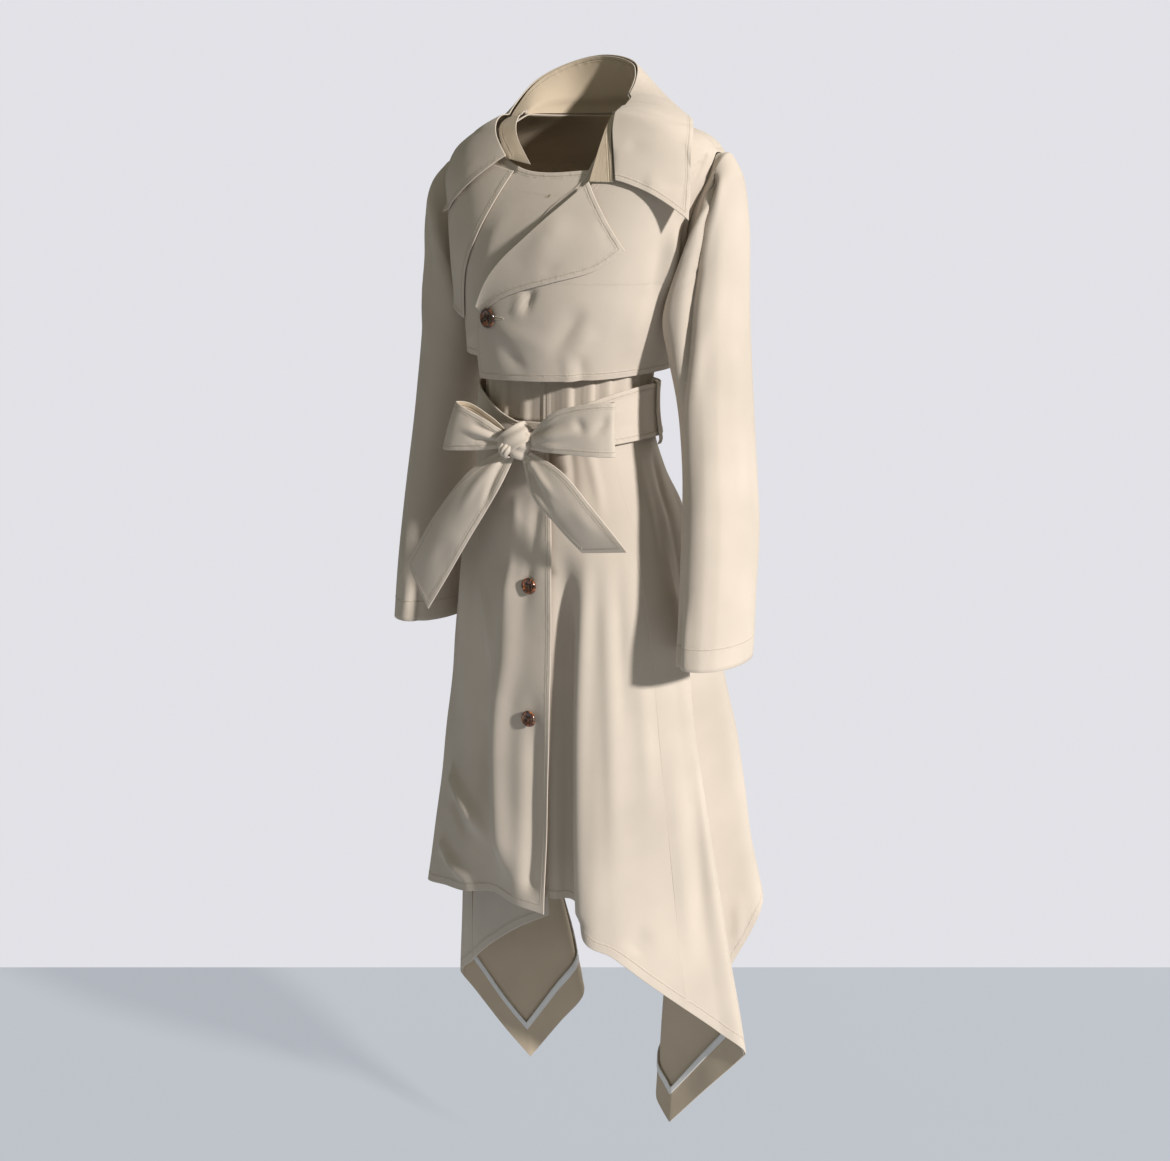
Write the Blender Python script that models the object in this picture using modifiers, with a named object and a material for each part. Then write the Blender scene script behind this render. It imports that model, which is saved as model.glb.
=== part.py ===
"""A women's deconstructed trench coat, worn and belted, as hollow cloth pieces.

A cropped double-breasted jacket layer with a large collar, one turned-back lapel and a storm flap
hangs over a gathered bodice and a long skirt. The skirt has a level overlay panel on the wearer's
right front and a handkerchief corner folded in at each side. A self belt is tied in a bow.

Units are metres, +Z is up, the front faces -Y and the wearer's left is +X. The origin is between
the shoulder tips, where the wearer carries the coat. Angles round the body start at the front
centre and grow towards the wearer's left.
"""

import math

import bpy
import numpy as np

# ---------------------------------------------------------------- driving dimensions
CLOTH = 0.0014
SEAM_GAP = 0.0004
STAND_CLEARANCE = 0.0040
ROLL_CLEARANCE = 0.0046
LEAF_CLEARANCE = 0.0060
PLY = 0.0026
ROUNDNESS = 2.25

NECK_HEIGHT = 0.046
ARMHOLE_TOP_LEFT = 0.003
ARMHOLE_TOP_RIGHT = -0.006
ARMHOLE_BOTTOM = -0.140
ARMHOLE_REACH_FRONT = math.radians(14)
ARMHOLE_REACH_BACK = math.radians(24)
SIDE = math.radians(90)
SEAM_ANGLE = math.radians(0.16)
SLEEVE_INSET = 0.0019
SLEEVE_RISE = 0.0009
SLEEVE_SIDES = 18
SLACK_PLACE = math.radians(50)
SLACK_HEADING = np.array([-0.84, -0.54, 0.0])

JACKET_HEM_LEFT = -0.252
JACKET_HEM_SIDE = -0.243
JACKET_HEM_RIGHT = -0.227
RIGHT_FRONT_TOP = -0.017
RIGHT_FRONT_EDGE = 0.070

BODICE_TOP = -0.190
BODICE_SEAM = -0.152
BODICE_SEAM_GAP = 0.0011
WAIST_SEAM = -0.300
GATHER_WAVES = 30
GATHER_DEPTH = 0.0030

BELT_LIFT = 0.0095
KNOT_PLACE = (0.000, -0.1395, -0.3190)
KNOT_SIZE = (0.040, 0.035, 0.034)

# Heights above the hem, measured straight up the cloth, which runs to the hem at a slant.
FACING_RISE = 0.0605
TAPE_RISE = 0.011
FACING_WALL = 0.0012
TAPE_WALL = 0.0010
FACING_GAP = 0.0008
SEAM_DEGREES = 0.12
HIP = -0.42

JACKET_BUTTON = 0.023
SKIRT_BUTTON = 0.020

TWILL = (0.76, 0.70, 0.58)
TAPE_WHITE = (0.84, 0.83, 0.80)
TORTOISE = (0.19, 0.08, 0.035)


# ---------------------------------------------------------------- tables and curves
def smooth(at, keys, values, corner=None):
    """Cubic curve through the values at rising keys, its slopes taken from each key's neighbours.

    At a corner the curve arrives along the stretch before it and leaves along the stretch after it.
    """
    at = np.clip(at, keys[0], keys[-1])
    leaving = np.gradient(values, keys)
    arriving = leaving.copy()
    if corner is not None:
        turn = int(np.searchsorted(keys, corner))
        chords = np.diff(values) / np.diff(keys)
        arriving[turn] = chords[turn - 1]
        leaving[turn] = chords[turn]
    left = np.clip(np.searchsorted(keys, at, side="right") - 1, 0, len(keys) - 2)
    step = keys[left + 1] - keys[left]
    part = (at - keys[left]) / step
    rise = part * part * (3 - 2 * part)
    start_pull = part * (1 - part) ** 2 * step * leaving[left]
    end_pull = part * part * (part - 1) * step * arriving[left + 1]
    return values[left] * (1 - rise) + values[left + 1] * rise + start_pull + end_pull


class Table:
    """Rows under named columns, read between rows by a curve over the first column.

    The curve is smooth but for the one key that is named as a corner.
    """

    def __init__(self, columns, *rows, corner=None):
        self.names = columns.split()
        self.rows = np.array(rows, float)
        self.corner = corner

    def keys(self):
        return self.rows[:, 0]

    def at(self, place, name):
        values = self.rows[:, self.names.index(name)]
        return smooth(np.asarray(place, float), self.keys(), values, self.corner)

    def point(self, place, names):
        return np.stack([self.at(place, name) for name in names.split()], -1)


# Level rings of the jacket: half widths on the wearer's left and right, reach to front and back.
TORSO = Table(
    "height left right front back",
    (-0.280, 0.098, 0.130, 0.122, 0.063),
    (-0.230, 0.115, 0.136, 0.132, 0.071),
    (-0.170, 0.139, 0.137, 0.136, 0.086),
    (-0.120, 0.153, 0.148, 0.130, 0.093),
    (-0.060, 0.167, 0.163, 0.114, 0.095),
    (-0.015, 0.1785, 0.171, 0.093, 0.091),
    (0.005, 0.1745, 0.156, 0.081, 0.086),
    (0.025, 0.148, 0.121, 0.068, 0.079),
    (0.046, 0.073, 0.067, 0.052, 0.066),
)

# Level rings of the bodice and of the skirt before its folds open.
BODY = Table(
    "height left right front back middle",
    (-0.600, 0.152, 0.150, 0.118, 0.118, -0.002),
    (-0.500, 0.145, 0.144, 0.114, 0.106, -0.005),
    (-0.420, 0.130, 0.135, 0.106, 0.090, -0.010),
    (-0.360, 0.112, 0.116, 0.091, 0.076, -0.022),
    (-0.300, 0.101, 0.105, 0.080, 0.066, -0.030),
    (-0.250, 0.100, 0.104, 0.083, 0.064, -0.026),
    (-0.190, 0.112, 0.114, 0.098, 0.064, -0.014),
)

# Front edge of the left front: hem, button stand, roll of the lapel, then the neck edge.
LEFT_FRONT_EDGE = Table(
    "height across",
    (-0.252, -0.062),
    (-0.200, -0.062),
    (-0.172, -0.058),
    (-0.151, -0.050),
    (-0.138, -0.041),
    (-0.113, -0.019),
    (-0.089, 0.009),
    (-0.060, 0.042),
    (-0.031, 0.073),
    (0.000, 0.0745),
    (0.024, 0.0730),
    (0.046, 0.0700),
)

# Neck edge of the right front, by its share of the way from side seam to front edge.
RIGHT_FRONT_NECK = Table(
    "share height",
    (0.00, 0.046),
    (0.12, 0.046),
    (0.30, 0.041),
    (0.50, 0.022),
    (0.64, 0.000),
    (0.74, -0.015),
    (1.00, RIGHT_FRONT_TOP),
)

# Turned-back left lapel from its top corner (0) to the button (1): roll line and outer edge.
LAPEL = Table(
    "along roll_x roll_z edge_x edge_z",
    (0.00, 0.0745, -0.029, 0.118, -0.102),
    (0.20, 0.0430, -0.059, 0.090, -0.124),
    (0.42, 0.0090, -0.089, 0.044, -0.138),
    (0.62, -0.0190, -0.113, 0.006, -0.148),
    (0.82, -0.0410, -0.138, -0.026, -0.160),
    (1.00, -0.0580, -0.168, -0.053, -0.176),
)

# Neck facing of the left front that shows behind the roll: outer edge against the roll.
NECK_FACING = Table(
    "along out_x out_z in_x in_z",
    (0.0, 0.070, 0.002, 0.0840, -0.006),
    (0.3, 0.060, -0.028, 0.0780, -0.036),
    (0.7, 0.028, -0.058, 0.0500, -0.066),
    (1.0, 0.004, -0.088, 0.0160, -0.092),
)

# Storm flap of the right front from the neck (0) to its lower corner (1).
STORM_FLAP = Table(
    "along free_x free_z arm_x arm_z",
    (0.00, -0.034, -0.018, -0.104, -0.004),
    (0.25, -0.052, -0.052, -0.138, -0.038),
    (0.50, -0.073, -0.090, -0.150, -0.080),
    (0.75, -0.094, -0.130, -0.150, -0.125),
    (1.00, -0.109, -0.187, -0.145, -0.176),
)

# Collar from its end on the left front (0), round the neck, to its end on the right front (1).
COLLAR = Table(
    "along seam_x seam_y seam_z roll_x roll_y roll_z edge_x edge_y edge_z rise",
    (0.00, 0.0735, -0.1030, -0.0300, 0.1000, -0.0970, -0.0290, 0.1830, -0.0760, -0.0690, 0.006),
    (0.09, 0.0740, -0.0870, 0.0000, 0.0895, -0.0800, -0.0030, 0.1700, -0.0500, -0.0310, 0.010),
    (0.17, 0.0725, -0.0600, 0.0270, 0.0775, -0.0600, 0.0230, 0.1690, -0.0460, 0.0060, 0.012),
    (0.24, 0.0710, -0.0300, 0.0420, 0.0680, -0.0320, 0.0500, 0.1480, -0.0080, 0.0345, 0.010),
    (0.32, 0.0710, 0.0080, 0.0470, 0.0610, 0.0060, 0.0800, 0.1050, 0.0560, 0.0400, 0.008),
    (0.40, 0.0520, 0.0500, 0.0480, 0.0400, 0.0400, 0.1020, 0.0700, 0.0840, 0.0330, 0.008),
    (0.50, 0.0000, 0.0650, 0.0480, -0.0120, 0.0600, 0.1140, 0.0000, 0.0960, 0.0320, 0.008),
    (0.60, -0.0490, 0.0490, 0.0480, -0.0580, 0.0540, 0.1060, -0.0720, 0.0840, 0.0330, 0.006),
    (0.69, -0.0650, 0.0080, 0.0470, -0.0870, 0.0300, 0.0860, -0.1180, 0.0560, 0.0300, 0.004),
    (0.77, -0.0620, -0.0200, 0.0440, -0.0945, 0.0000, 0.0590, -0.1440, 0.0170, 0.0210, 0.003),
    (0.85, -0.0540, -0.0500, 0.0290, -0.0880, -0.0300, 0.0360, -0.1480, -0.0220, 0.0080, 0.004),
    (0.92, -0.0400, -0.0740, 0.0130, -0.0720, -0.0580, 0.0160, -0.1440, -0.0520, -0.0280, 0.000),
    (1.00, -0.0080, -0.1010, -0.0110, -0.0440, -0.0870, -0.0060, -0.1490, -0.0790, -0.0650, -0.008),
)

# Sleeve rings below the armhole, on the wearer's left: outer and inner point, middle and depth.
SLEEVE = Table(
    "along out_x out_z in_x in_z y half_deep",
    (0.04, 0.1930, -0.0080, 0.1550, -0.1430, -0.0030, 0.0360),
    (0.09, 0.2060, -0.0250, 0.1560, -0.1540, -0.0065, 0.0450),
    (0.16, 0.2150, -0.0600, 0.1560, -0.1680, -0.0056, 0.0475),
    (0.26, 0.2185, -0.1150, 0.1545, -0.1930, -0.0047, 0.0485),
    (0.38, 0.2205, -0.1850, 0.1530, -0.2300, -0.0055, 0.0520),
    (0.55, 0.2260, -0.2900, 0.1540, -0.3000, -0.0110, 0.0590),
    (0.76, 0.2380, -0.4200, 0.1650, -0.4200, -0.0220, 0.0620),
    (0.90, 0.2420, -0.5100, 0.1690, -0.5100, -0.0340, 0.0620),
    (1.00, 0.2430, -0.5700, 0.1710, -0.5700, -0.0420, 0.0610),
)

# How far the slack of a sleeve stands out on its inner front, where no arm fills it, and how
# much higher and slimmer the left one hangs from its shoulder.
SLEEVE_SLACK = Table(
    "along out rise slim",
    (0.04, 0.0010, 0.0085, 0.0000),
    (0.09, 0.0095, 0.0070, 0.0015),
    (0.16, 0.0195, 0.0040, 0.0055),
    (0.26, 0.0270, 0.0010, 0.0065),
    (0.38, 0.0180, 0.0000, 0.0050),
    (0.55, 0.0000, 0.0000, 0.0025),
    (0.76, 0.0000, 0.0000, 0.0008),
    (1.00, 0.0000, 0.0000, 0.0000),
)

# Folds of the skirt: angle at the waist, place in plan at the hem, height of the hem.
LEFT_FRONT_FOLDS = Table(
    "angle x y hem",
    (-6, -0.012, -0.1180, -0.885),
    (6, 0.030, -0.1170, -0.886),
    (14, 0.060, -0.1070, -0.893),
    (22, 0.083, -0.1300, -0.923),
    (33, 0.117, -0.1200, -0.940),
    (45, 0.153, -0.0900, -0.979),
    (56, 0.185, -0.0580, -1.016),
)
LEFT_SIDE_FOLDS = Table(
    "angle x y hem",
    (56, 0.185, -0.0580, -1.016),
    (66, 0.212, -0.0230, -1.054),
    (74, 0.233, 0.0080, -1.090),
    (77, 0.2216, 0.0242, -1.1072),
    (81, 0.1598, 0.0402, -1.1804),
    (85, 0.1024, 0.0514, -1.2498),
    (86, 0.0886, 0.0549, -1.2367),
    (86.9, 0.0774, 0.0604, -1.2266),
    (87.7, 0.0730, 0.0689, -1.2128),
    (88.9, 0.0816, 0.0789, -1.1851),
    (91, 0.0976, 0.0930, -1.1470),
    (97, 0.136, 0.1330, -1.062),
    (107, 0.170, 0.1640, -0.975),
    (114, 0.160, 0.1840, -0.952),
    (126, 0.125, 0.1860, -0.940),
    corner=85,
)
BACK_FOLDS = Table(
    "angle x y hem",
    (126, 0.125, 0.1860, -0.940),
    (140, 0.090, 0.1690, -0.932),
    (156, 0.052, 0.1800, -0.926),
    (170, 0.018, 0.1660, -0.924),
    (180, 0.000, 0.1640, -0.924),
    (190, -0.018, 0.1680, -0.924),
    (205, -0.054, 0.1820, -0.926),
    (220, -0.090, 0.1700, -0.932),
    (234, -0.125, 0.1860, -0.940),
)
RIGHT_SIDE_FOLDS = Table(
    "angle x y hem",
    (234, -0.125, 0.1860, -0.940),
    (246, -0.160, 0.1840, -0.952),
    (252, -0.170, 0.1640, -0.975),
    (260, -0.126, 0.1390, -1.040),
    (267, -0.074, 0.1050, -1.110),
    (271, -0.0623, 0.0883, -1.1310),
    (275, -0.0879, 0.0716, -1.1690),
    (279, -0.1224, 0.0489, -1.2208),
    (283.5, -0.1615, 0.0222, -1.1576),
    (286.3, -0.1793, 0.0008, -1.1156),
    (291, -0.1887, -0.0155, -1.0874),
    (300, -0.158, -0.0300, -1.050),
    corner=279,
)
RIGHT_FRONT_FOLDS = Table(
    "angle x y hem",
    (300, -0.158, -0.0300, -1.050),
    (316, -0.110, -0.0620, -1.006),
    (336, -0.054, -0.0880, -0.960),
    (363, 0.008, -0.0960, -0.920),
)
OVERLAY_FOLDS = Table(
    "angle x y hem",
    (258, -0.190, -0.0080, -0.932),
    (272, -0.203, -0.0420, -0.930),
    (284, -0.196, -0.0760, -0.927),
    (300, -0.156, -0.0920, -0.920),
    (318, -0.106, -0.1150, -0.908),
    (334, -0.066, -0.1120, -0.900),
    (350, -0.022, -0.1290, -0.900),
    (371, 0.024, -0.1290, -0.903),
)


def ring_point(table, angle, height, lift, middle=0.0):
    """Point of a rounded ring: |x / half width| and |y / reach| to the roundness power add up to 1."""
    power = 2 / ROUNDNESS
    across = np.sin(angle)
    fore = np.cos(angle)
    half = np.where(across >= 0, table.at(height, "left"), table.at(height, "right")) + lift
    reach = np.where(fore >= 0, table.at(height, "front"), table.at(height, "back")) + lift
    x = half * np.sign(across) * np.abs(across) ** power
    y = middle - reach * np.sign(fore) * np.abs(fore) ** power
    return np.stack(np.broadcast_arrays(x, y, height), -1)


def torso(angle, height, lift):
    return ring_point(TORSO, angle, height, lift)


def body(angle, height, lift):
    return ring_point(BODY, angle, height, lift, BODY.at(height, "middle"))


def angle_across(x, height, lift=0.0):
    """Angle on the front of the jacket at which its ring reaches x."""
    half = np.where(x >= 0, TORSO.at(height, "left"), TORSO.at(height, "right")) + lift
    share = np.clip(np.abs(x) / half, 0, 1)
    return np.sign(x) * np.arcsin(share ** (ROUNDNESS / 2))


def on_chest(x, height, lift):
    """Point on the front of the jacket at x and height, moved out by lift."""
    return torso(angle_across(x, height, lift), height, lift)


def ease(share):
    share = np.clip(share, 0, 1)
    return share * share * (3 - 2 * share)


# ---------------------------------------------------------------- Blender objects
def clear_scene():
    for item in list(bpy.data.objects):
        bpy.data.objects.remove(item, do_unlink=True)


def new_collection(name):
    group = bpy.data.collections.new(name)
    bpy.context.scene.collection.children.link(group)
    return group


def new_material(name, colour, roughness):
    material = bpy.data.materials.new(name)
    material.use_nodes = True
    shader = material.node_tree.nodes["Principled BSDF"]
    shader.inputs["Base Color"].default_value = (*colour, 1)
    shader.inputs["Roughness"].default_value = roughness
    shader.inputs["Metallic"].default_value = 0
    return material


def add_mesh(name, points, faces, finish):
    """New object from points and faces, with its own material, shaded smooth."""
    colour, roughness = finish
    mesh = bpy.data.meshes.new(name)
    mesh.from_pydata(points.reshape(-1, 3).tolist(), [], faces.tolist())
    mesh.materials.append(new_material(name, colour, roughness))
    mesh.shade_smooth()
    item = bpy.data.objects.new(name, mesh)
    COAT.objects.link(item)
    return item


def sheet_faces(rows, columns, closed, flipped):
    """Quads of a grid of points; a closed grid joins its last column to its first."""
    row = np.arange(rows - 1)[:, None]
    column = np.arange(columns if closed else columns - 1)[None, :]
    following = (column + 1) % columns
    corners = (row * columns + column, row * columns + following)
    above = (corners[1] + columns, corners[0] + columns)
    faces = np.stack(np.broadcast_arrays(*corners, *above), -1).reshape(-1, 4)
    return faces[:, ::-1] if flipped else faces


def add_cloth(name, points, wall=CLOTH, closed=False, flipped=False, finish=(TWILL, 0.85)):
    """Cloth piece: an open grid of points, given its wall on the outer side."""
    rows, columns = points.shape[:2]
    item = add_mesh(name, points, sheet_faces(rows, columns, closed, flipped), finish)
    wall_maker = item.modifiers.new("wall", "SOLIDIFY")
    wall_maker.thickness = wall
    wall_maker.offset = 1
    return item


# ---------------------------------------------------------------- jacket
def armhole_opening(height, reach, top):
    """Angle by which the armhole bites into a panel at a height: an oval between its two ends."""
    centre = (top + ARMHOLE_BOTTOM) / 2
    half = (top - ARMHOLE_BOTTOM) / 2
    return reach * np.sqrt(np.clip(1 - ((height - centre) / half) ** 2, 0, 1))


def panel_rows(hem, top):
    """Shares of the way up a side seam, set close round the armhole and over the shoulder."""
    centre = (top + ARMHOLE_BOTTOM) / 2
    half = (top - ARMHOLE_BOTTOM) / 2
    below = np.linspace(hem, ARMHOLE_BOTTOM, 4)[:-1]
    beside = centre - half * np.cos(np.linspace(0, math.pi, SLEEVE_SIDES // 2 + 1))
    above = np.linspace(top, NECK_HEIGHT, 4)[1:]
    heights = np.concatenate([below, beside, above])
    return (heights - hem) / (NECK_HEIGHT - hem)


def panel(across, low_edge, high_edge, hems, armholes, top, lift):
    """Jacket panel between two edges given as angles by height, from its hem to its top edge."""
    low_hem, high_hem = hems
    share = np.linspace(0, 1, across + 1)[None, :]
    hem = low_hem + (high_hem - low_hem) * share
    low_rows = panel_rows(low_hem, armholes[0])[:, None]
    high_rows = panel_rows(high_hem, armholes[1])[:, None]
    climb = low_rows * (1 - share) + high_rows * share
    height = hem + (top(share) - hem) * climb
    low = low_edge(height)
    angle = low + (high_edge(height) - low) * share
    return torso(angle, height, lift(angle))


def front_lift(angle):
    """The left front lies over the right one in front and meets the back at the side."""
    return 2.2 * PLY * ease((math.radians(82) - angle) / math.radians(40))


def clear_of_jacket(points, gap):
    """Points moved out along the jacket's slope until they stand off its surface by the gap."""

    def beyond(place):
        x, y, height = np.moveaxis(place, -1, 0)
        half = np.where(x >= 0, TORSO.at(height, "left"), TORSO.at(height, "right"))
        reach = np.where(y <= 0, TORSO.at(height, "front"), TORSO.at(height, "back"))
        across = np.abs(x / half) ** ROUNDNESS
        fore = np.abs(y / reach) ** ROUNDNESS
        angle = np.arctan2(np.sign(x) * np.sqrt(across), -np.sign(y) * np.sqrt(fore))
        return (across + fore) ** (1 / ROUNDNESS) - 1, angle

    step = 0.0005
    for _ in range(8):
        value, angle = beyond(points)
        slope = [beyond(points + step * axis)[0] - beyond(points - step * axis)[0] for axis in np.eye(3)]
        slope = np.stack(slope, -1) / (2 * step)
        steepness = np.linalg.norm(slope, axis=-1)
        wanted = gap + np.where(points[..., 0] >= 0, front_lift(np.abs(angle)), 0)
        below_neck = ease((NECK_HEIGHT + 0.020 - points[..., 2]) / 0.020)
        short = np.clip(wanted - value / steepness, 0, 0.01) * below_neck
        points = points + slope / steepness[..., None] * short[..., None]
    return points


def build_jacket():
    left_side = SIDE - SEAM_ANGLE
    right_side = -SIDE + SEAM_ANGLE
    left_front = panel(
        13,
        lambda height: angle_across(LEFT_FRONT_EDGE.at(height, "across"), height),
        lambda height: left_side - armhole_opening(height, ARMHOLE_REACH_FRONT, ARMHOLE_TOP_LEFT),
        (JACKET_HEM_LEFT, JACKET_HEM_SIDE),
        (ARMHOLE_TOP_LEFT, ARMHOLE_TOP_LEFT),
        lambda share: NECK_HEIGHT + 0 * share,
        front_lift,
    )
    add_cloth("jacket_front_left", left_front)
    right_front = panel(
        13,
        lambda height: right_side + armhole_opening(height, ARMHOLE_REACH_FRONT, ARMHOLE_TOP_RIGHT),
        lambda height: angle_across(RIGHT_FRONT_EDGE + 0 * height, height),
        (JACKET_HEM_RIGHT, JACKET_HEM_RIGHT),
        (ARMHOLE_TOP_RIGHT, ARMHOLE_TOP_RIGHT),
        lambda share: RIGHT_FRONT_NECK.at(share, "height"),
        lambda angle: 0 * angle,
    )
    add_cloth("jacket_front_right", right_front)
    from_left = SIDE + SEAM_ANGLE
    to_right = 3 * SIDE - SEAM_ANGLE
    back = panel(
        15,
        lambda height: from_left + armhole_opening(height, ARMHOLE_REACH_BACK, ARMHOLE_TOP_LEFT),
        lambda height: to_right - armhole_opening(height, ARMHOLE_REACH_BACK, ARMHOLE_TOP_RIGHT),
        (JACKET_HEM_SIDE, JACKET_HEM_RIGHT),
        (ARMHOLE_TOP_LEFT, ARMHOLE_TOP_RIGHT),
        lambda share: NECK_HEIGHT + 0 * share,
        lambda angle: 0 * angle,
    )
    add_cloth("jacket_back", back)


def chest_strip(table, near, far, rows, columns, lift):
    """Piece lying on the chest between two edges of a table, lifted off it as lift says."""
    along = np.linspace(0, 1, rows)[:, None]
    share = np.linspace(0, 1, columns)[None, :]
    near_x, near_z = table.at(along, near + "_x"), table.at(along, near + "_z")
    far_x, far_z = table.at(along, far + "_x"), table.at(along, far + "_z")
    x = near_x + (far_x - near_x) * share
    height = near_z + (far_z - near_z) * share
    return on_chest(x, height, lift(share, along))


def build_lapel():
    base = 2.2 * PLY + CLOTH

    def lapel_lift(share, along):
        return base + 0.0009 + 0.0050 * (1 - share) ** 1.5 + 0 * along

    add_cloth("lapel_left", chest_strip(LAPEL, "roll", "edge", 12, 8, lapel_lift), flipped=True)

    def facing_lift(share, along):
        return CLOTH + 0.0008 + 0 * share * along

    facing = chest_strip(NECK_FACING, "out", "in", 8, 3, facing_lift)
    add_cloth("neck_facing_left", facing, wall=FACING_WALL, flipped=True)


def build_storm_flap():
    """The flap hangs from the shoulder, clear of the front edge and out over the sleeve."""

    def flap_lift(share, along):
        return CLOTH + 0.0012 + share * (0.001 + 0.016 * along**1.5)

    add_cloth("storm_flap_right", chest_strip(STORM_FLAP, "free", "arm", 10, 6, flap_lift))


def build_collar():
    along = np.linspace(0, 1, 29)[None, :]
    seam = COLLAR.point(along, "seam_x seam_y seam_z") + np.array([0, 0, 0.0012])
    roll = clear_of_jacket(COLLAR.point(along, "roll_x roll_y roll_z"), ROLL_CLEARANCE)
    edge = COLLAR.point(along, "edge_x edge_y edge_z")
    rise = COLLAR.at(along, "rise")[..., None]
    climb = np.linspace(0, 1, 4)[:, None, None]
    stand = seam + (roll - seam) * climb
    off_right = STAND_CLEARANCE + 0.0020 * ease((-stand[..., 0] - 0.020) / 0.030)
    add_cloth("collar_stand", clear_of_jacket(stand, off_right))
    fall = np.linspace(0, 1, 6)[:, None, None]
    outward = (edge - roll) * np.array([1, 1, 0])
    outward = outward / np.linalg.norm(outward, axis=-1, keepdims=True)
    start = roll + outward * 0.0032 + np.array([0, 0, 0.0014])
    leaf = start + (edge - start) * fall
    leaf = leaf + np.array([0, 0, 1]) * rise * 4 * fall * (1 - fall)
    over_flap = LEAF_CLEARANCE + 0.0030 * ease((-leaf[..., 0] - 0.020) / 0.040)
    add_cloth("collar_leaf", clear_of_jacket(leaf, over_flap), flipped=True)


def sleeve_points(side):
    """Sleeve as a stack of rings: the first is the armhole's own oval, the rest follow the table."""
    around = np.linspace(0, 2 * math.pi, SLEEVE_SIDES + 1)[:-1][None, :]
    along = np.concatenate([SLEEVE.keys()[:4], np.linspace(SLEEVE.keys()[4], 1, 6)])[:, None]
    inner = SLEEVE.point(along, "in_x y in_z")
    outer = SLEEVE.point(along, "out_x y out_z")
    if side > 0:
        outer[..., 0] -= SLEEVE_SLACK.at(along, "slim")
        outer[..., 2] += SLEEVE_SLACK.at(along, "rise")
    share = ((1 - np.cos(around)) / 2)[..., None]
    depth = np.sin(around) * SLEEVE.at(along, "half_deep")
    rings = inner + (outer - inner) * share
    rings[..., 1] -= depth
    slack = SLEEVE_SLACK.at(along, "out") * np.clip(np.cos(around - SLACK_PLACE), 0, 1) ** 1.5
    rings = rings + slack[..., None] * SLACK_HEADING
    top = ARMHOLE_TOP_LEFT if side > 0 else ARMHOLE_TOP_RIGHT
    centre = (top + ARMHOLE_BOTTOM) / 2
    half = (top - ARMHOLE_BOTTOM) / 2 - SLEEVE_INSET
    height = centre - half * np.cos(around)
    front = np.sin(around) >= 0
    reach = np.where(front, ARMHOLE_REACH_FRONT, ARMHOLE_REACH_BACK) - math.radians(1.2)
    angle = SIDE - reach * np.sin(around)
    lift = np.where(front, front_lift(side * angle), 0) * (side > 0)
    armhole = torso(side * angle, height, lift) + np.array([side * SLEEVE_RISE, 0, 0])
    return np.concatenate([armhole, rings * np.array([side, 1, 1])], 0)


def build_sleeves():
    add_cloth("sleeve_left", sleeve_points(1), closed=True, flipped=True)
    add_cloth("sleeve_right", sleeve_points(-1), closed=True)


# ---------------------------------------------------------------- bodice and skirt
def build_bodice():
    """Two gathered pieces from a hidden seam inside the jacket down to the waist."""
    per_wave = 3
    columns = GATHER_WAVES * per_wave // 2 + 1
    for name, first in (("bodice_front", -SIDE), ("bodice_back", SIDE)):
        angle = np.linspace(first + SEAM_ANGLE, first + 2 * SIDE - SEAM_ANGLE, columns)[None, :]
        height = np.linspace(WAIST_SEAM + 3 * SEAM_GAP, BODICE_TOP, 3)[:, None]
        climb = (height - WAIST_SEAM) / (BODICE_TOP - WAIST_SEAM)
        wave = GATHER_DEPTH * (1 - 0.7 * climb) * np.sin(GATHER_WAVES * angle)
        hanging = body(angle, height, wave)
        seam = torso(angle, BODICE_SEAM + 0 * angle, -CLOTH - BODICE_SEAM_GAP)
        add_cloth(name, np.concatenate([hanging, seam], 0))


def skirt_surface(folds, angle, drop, lift):
    """Point of a skirt panel: a body ring at the waist that opens into the hem's folds in plan."""
    hem = folds.at(angle, "hem")
    height = WAIST_SEAM + (hem - WAIST_SEAM) * drop
    ring = body(np.radians(angle), np.maximum(height, BODY.keys()[0]), lift)
    opened = np.clip((HIP - height) / (HIP - hem), 0, 1)[..., None] ** 1.25
    points = ring * (1 - opened) + folds.point(angle, "x y hem") * opened
    points[..., 2] = height
    return points


def fold_angles(folds, across):
    """Angles of a panel's columns, stopping short of both seams.

    A panel with a corner has more of its columns where its hem runs far, and one on the corner itself.
    """
    keys = folds.keys()
    even = np.linspace(keys[0] + SEAM_DEGREES, keys[-1] - SEAM_DEGREES, across + 1)
    if folds.corner is None:
        return even[None, :]
    fine = np.linspace(even[0], even[-1], 601)
    steps = np.linalg.norm(np.diff(folds.point(fine, "x y hem"), axis=0), axis=-1)
    run = np.concatenate([[0], np.cumsum(steps)])
    place = run / run[-1] + (fine - fine[0]) / (fine[-1] - fine[0])
    columns = np.interp(np.linspace(0, 2, across + 1), place, fine)
    columns[np.abs(columns - folds.corner).argmin()] = folds.corner
    return columns[None, :]


def build_skirt():
    panels = (
        ("skirt_front_left", LEFT_FRONT_FOLDS, 14, 9, 0.0),
        ("skirt_side_left", LEFT_SIDE_FOLDS, 26, 9, 0.0),
        ("skirt_back", BACK_FOLDS, 17, 9, 0.0),
        ("skirt_side_right", RIGHT_SIDE_FOLDS, 26, 9, 0.0),
        ("skirt_front_right", RIGHT_FRONT_FOLDS, 10, 9, -0.0045),
        ("skirt_overlay_right", OVERLAY_FOLDS, 18, 9, 0.0052),
    )
    for name, folds, across, down, lift in panels:
        drop = np.linspace(0, 1, down + 1)[:, None]
        angle = fold_angles(folds, across)
        add_cloth(name, skirt_surface(folds, angle, drop, lift), flipped=True)


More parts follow.
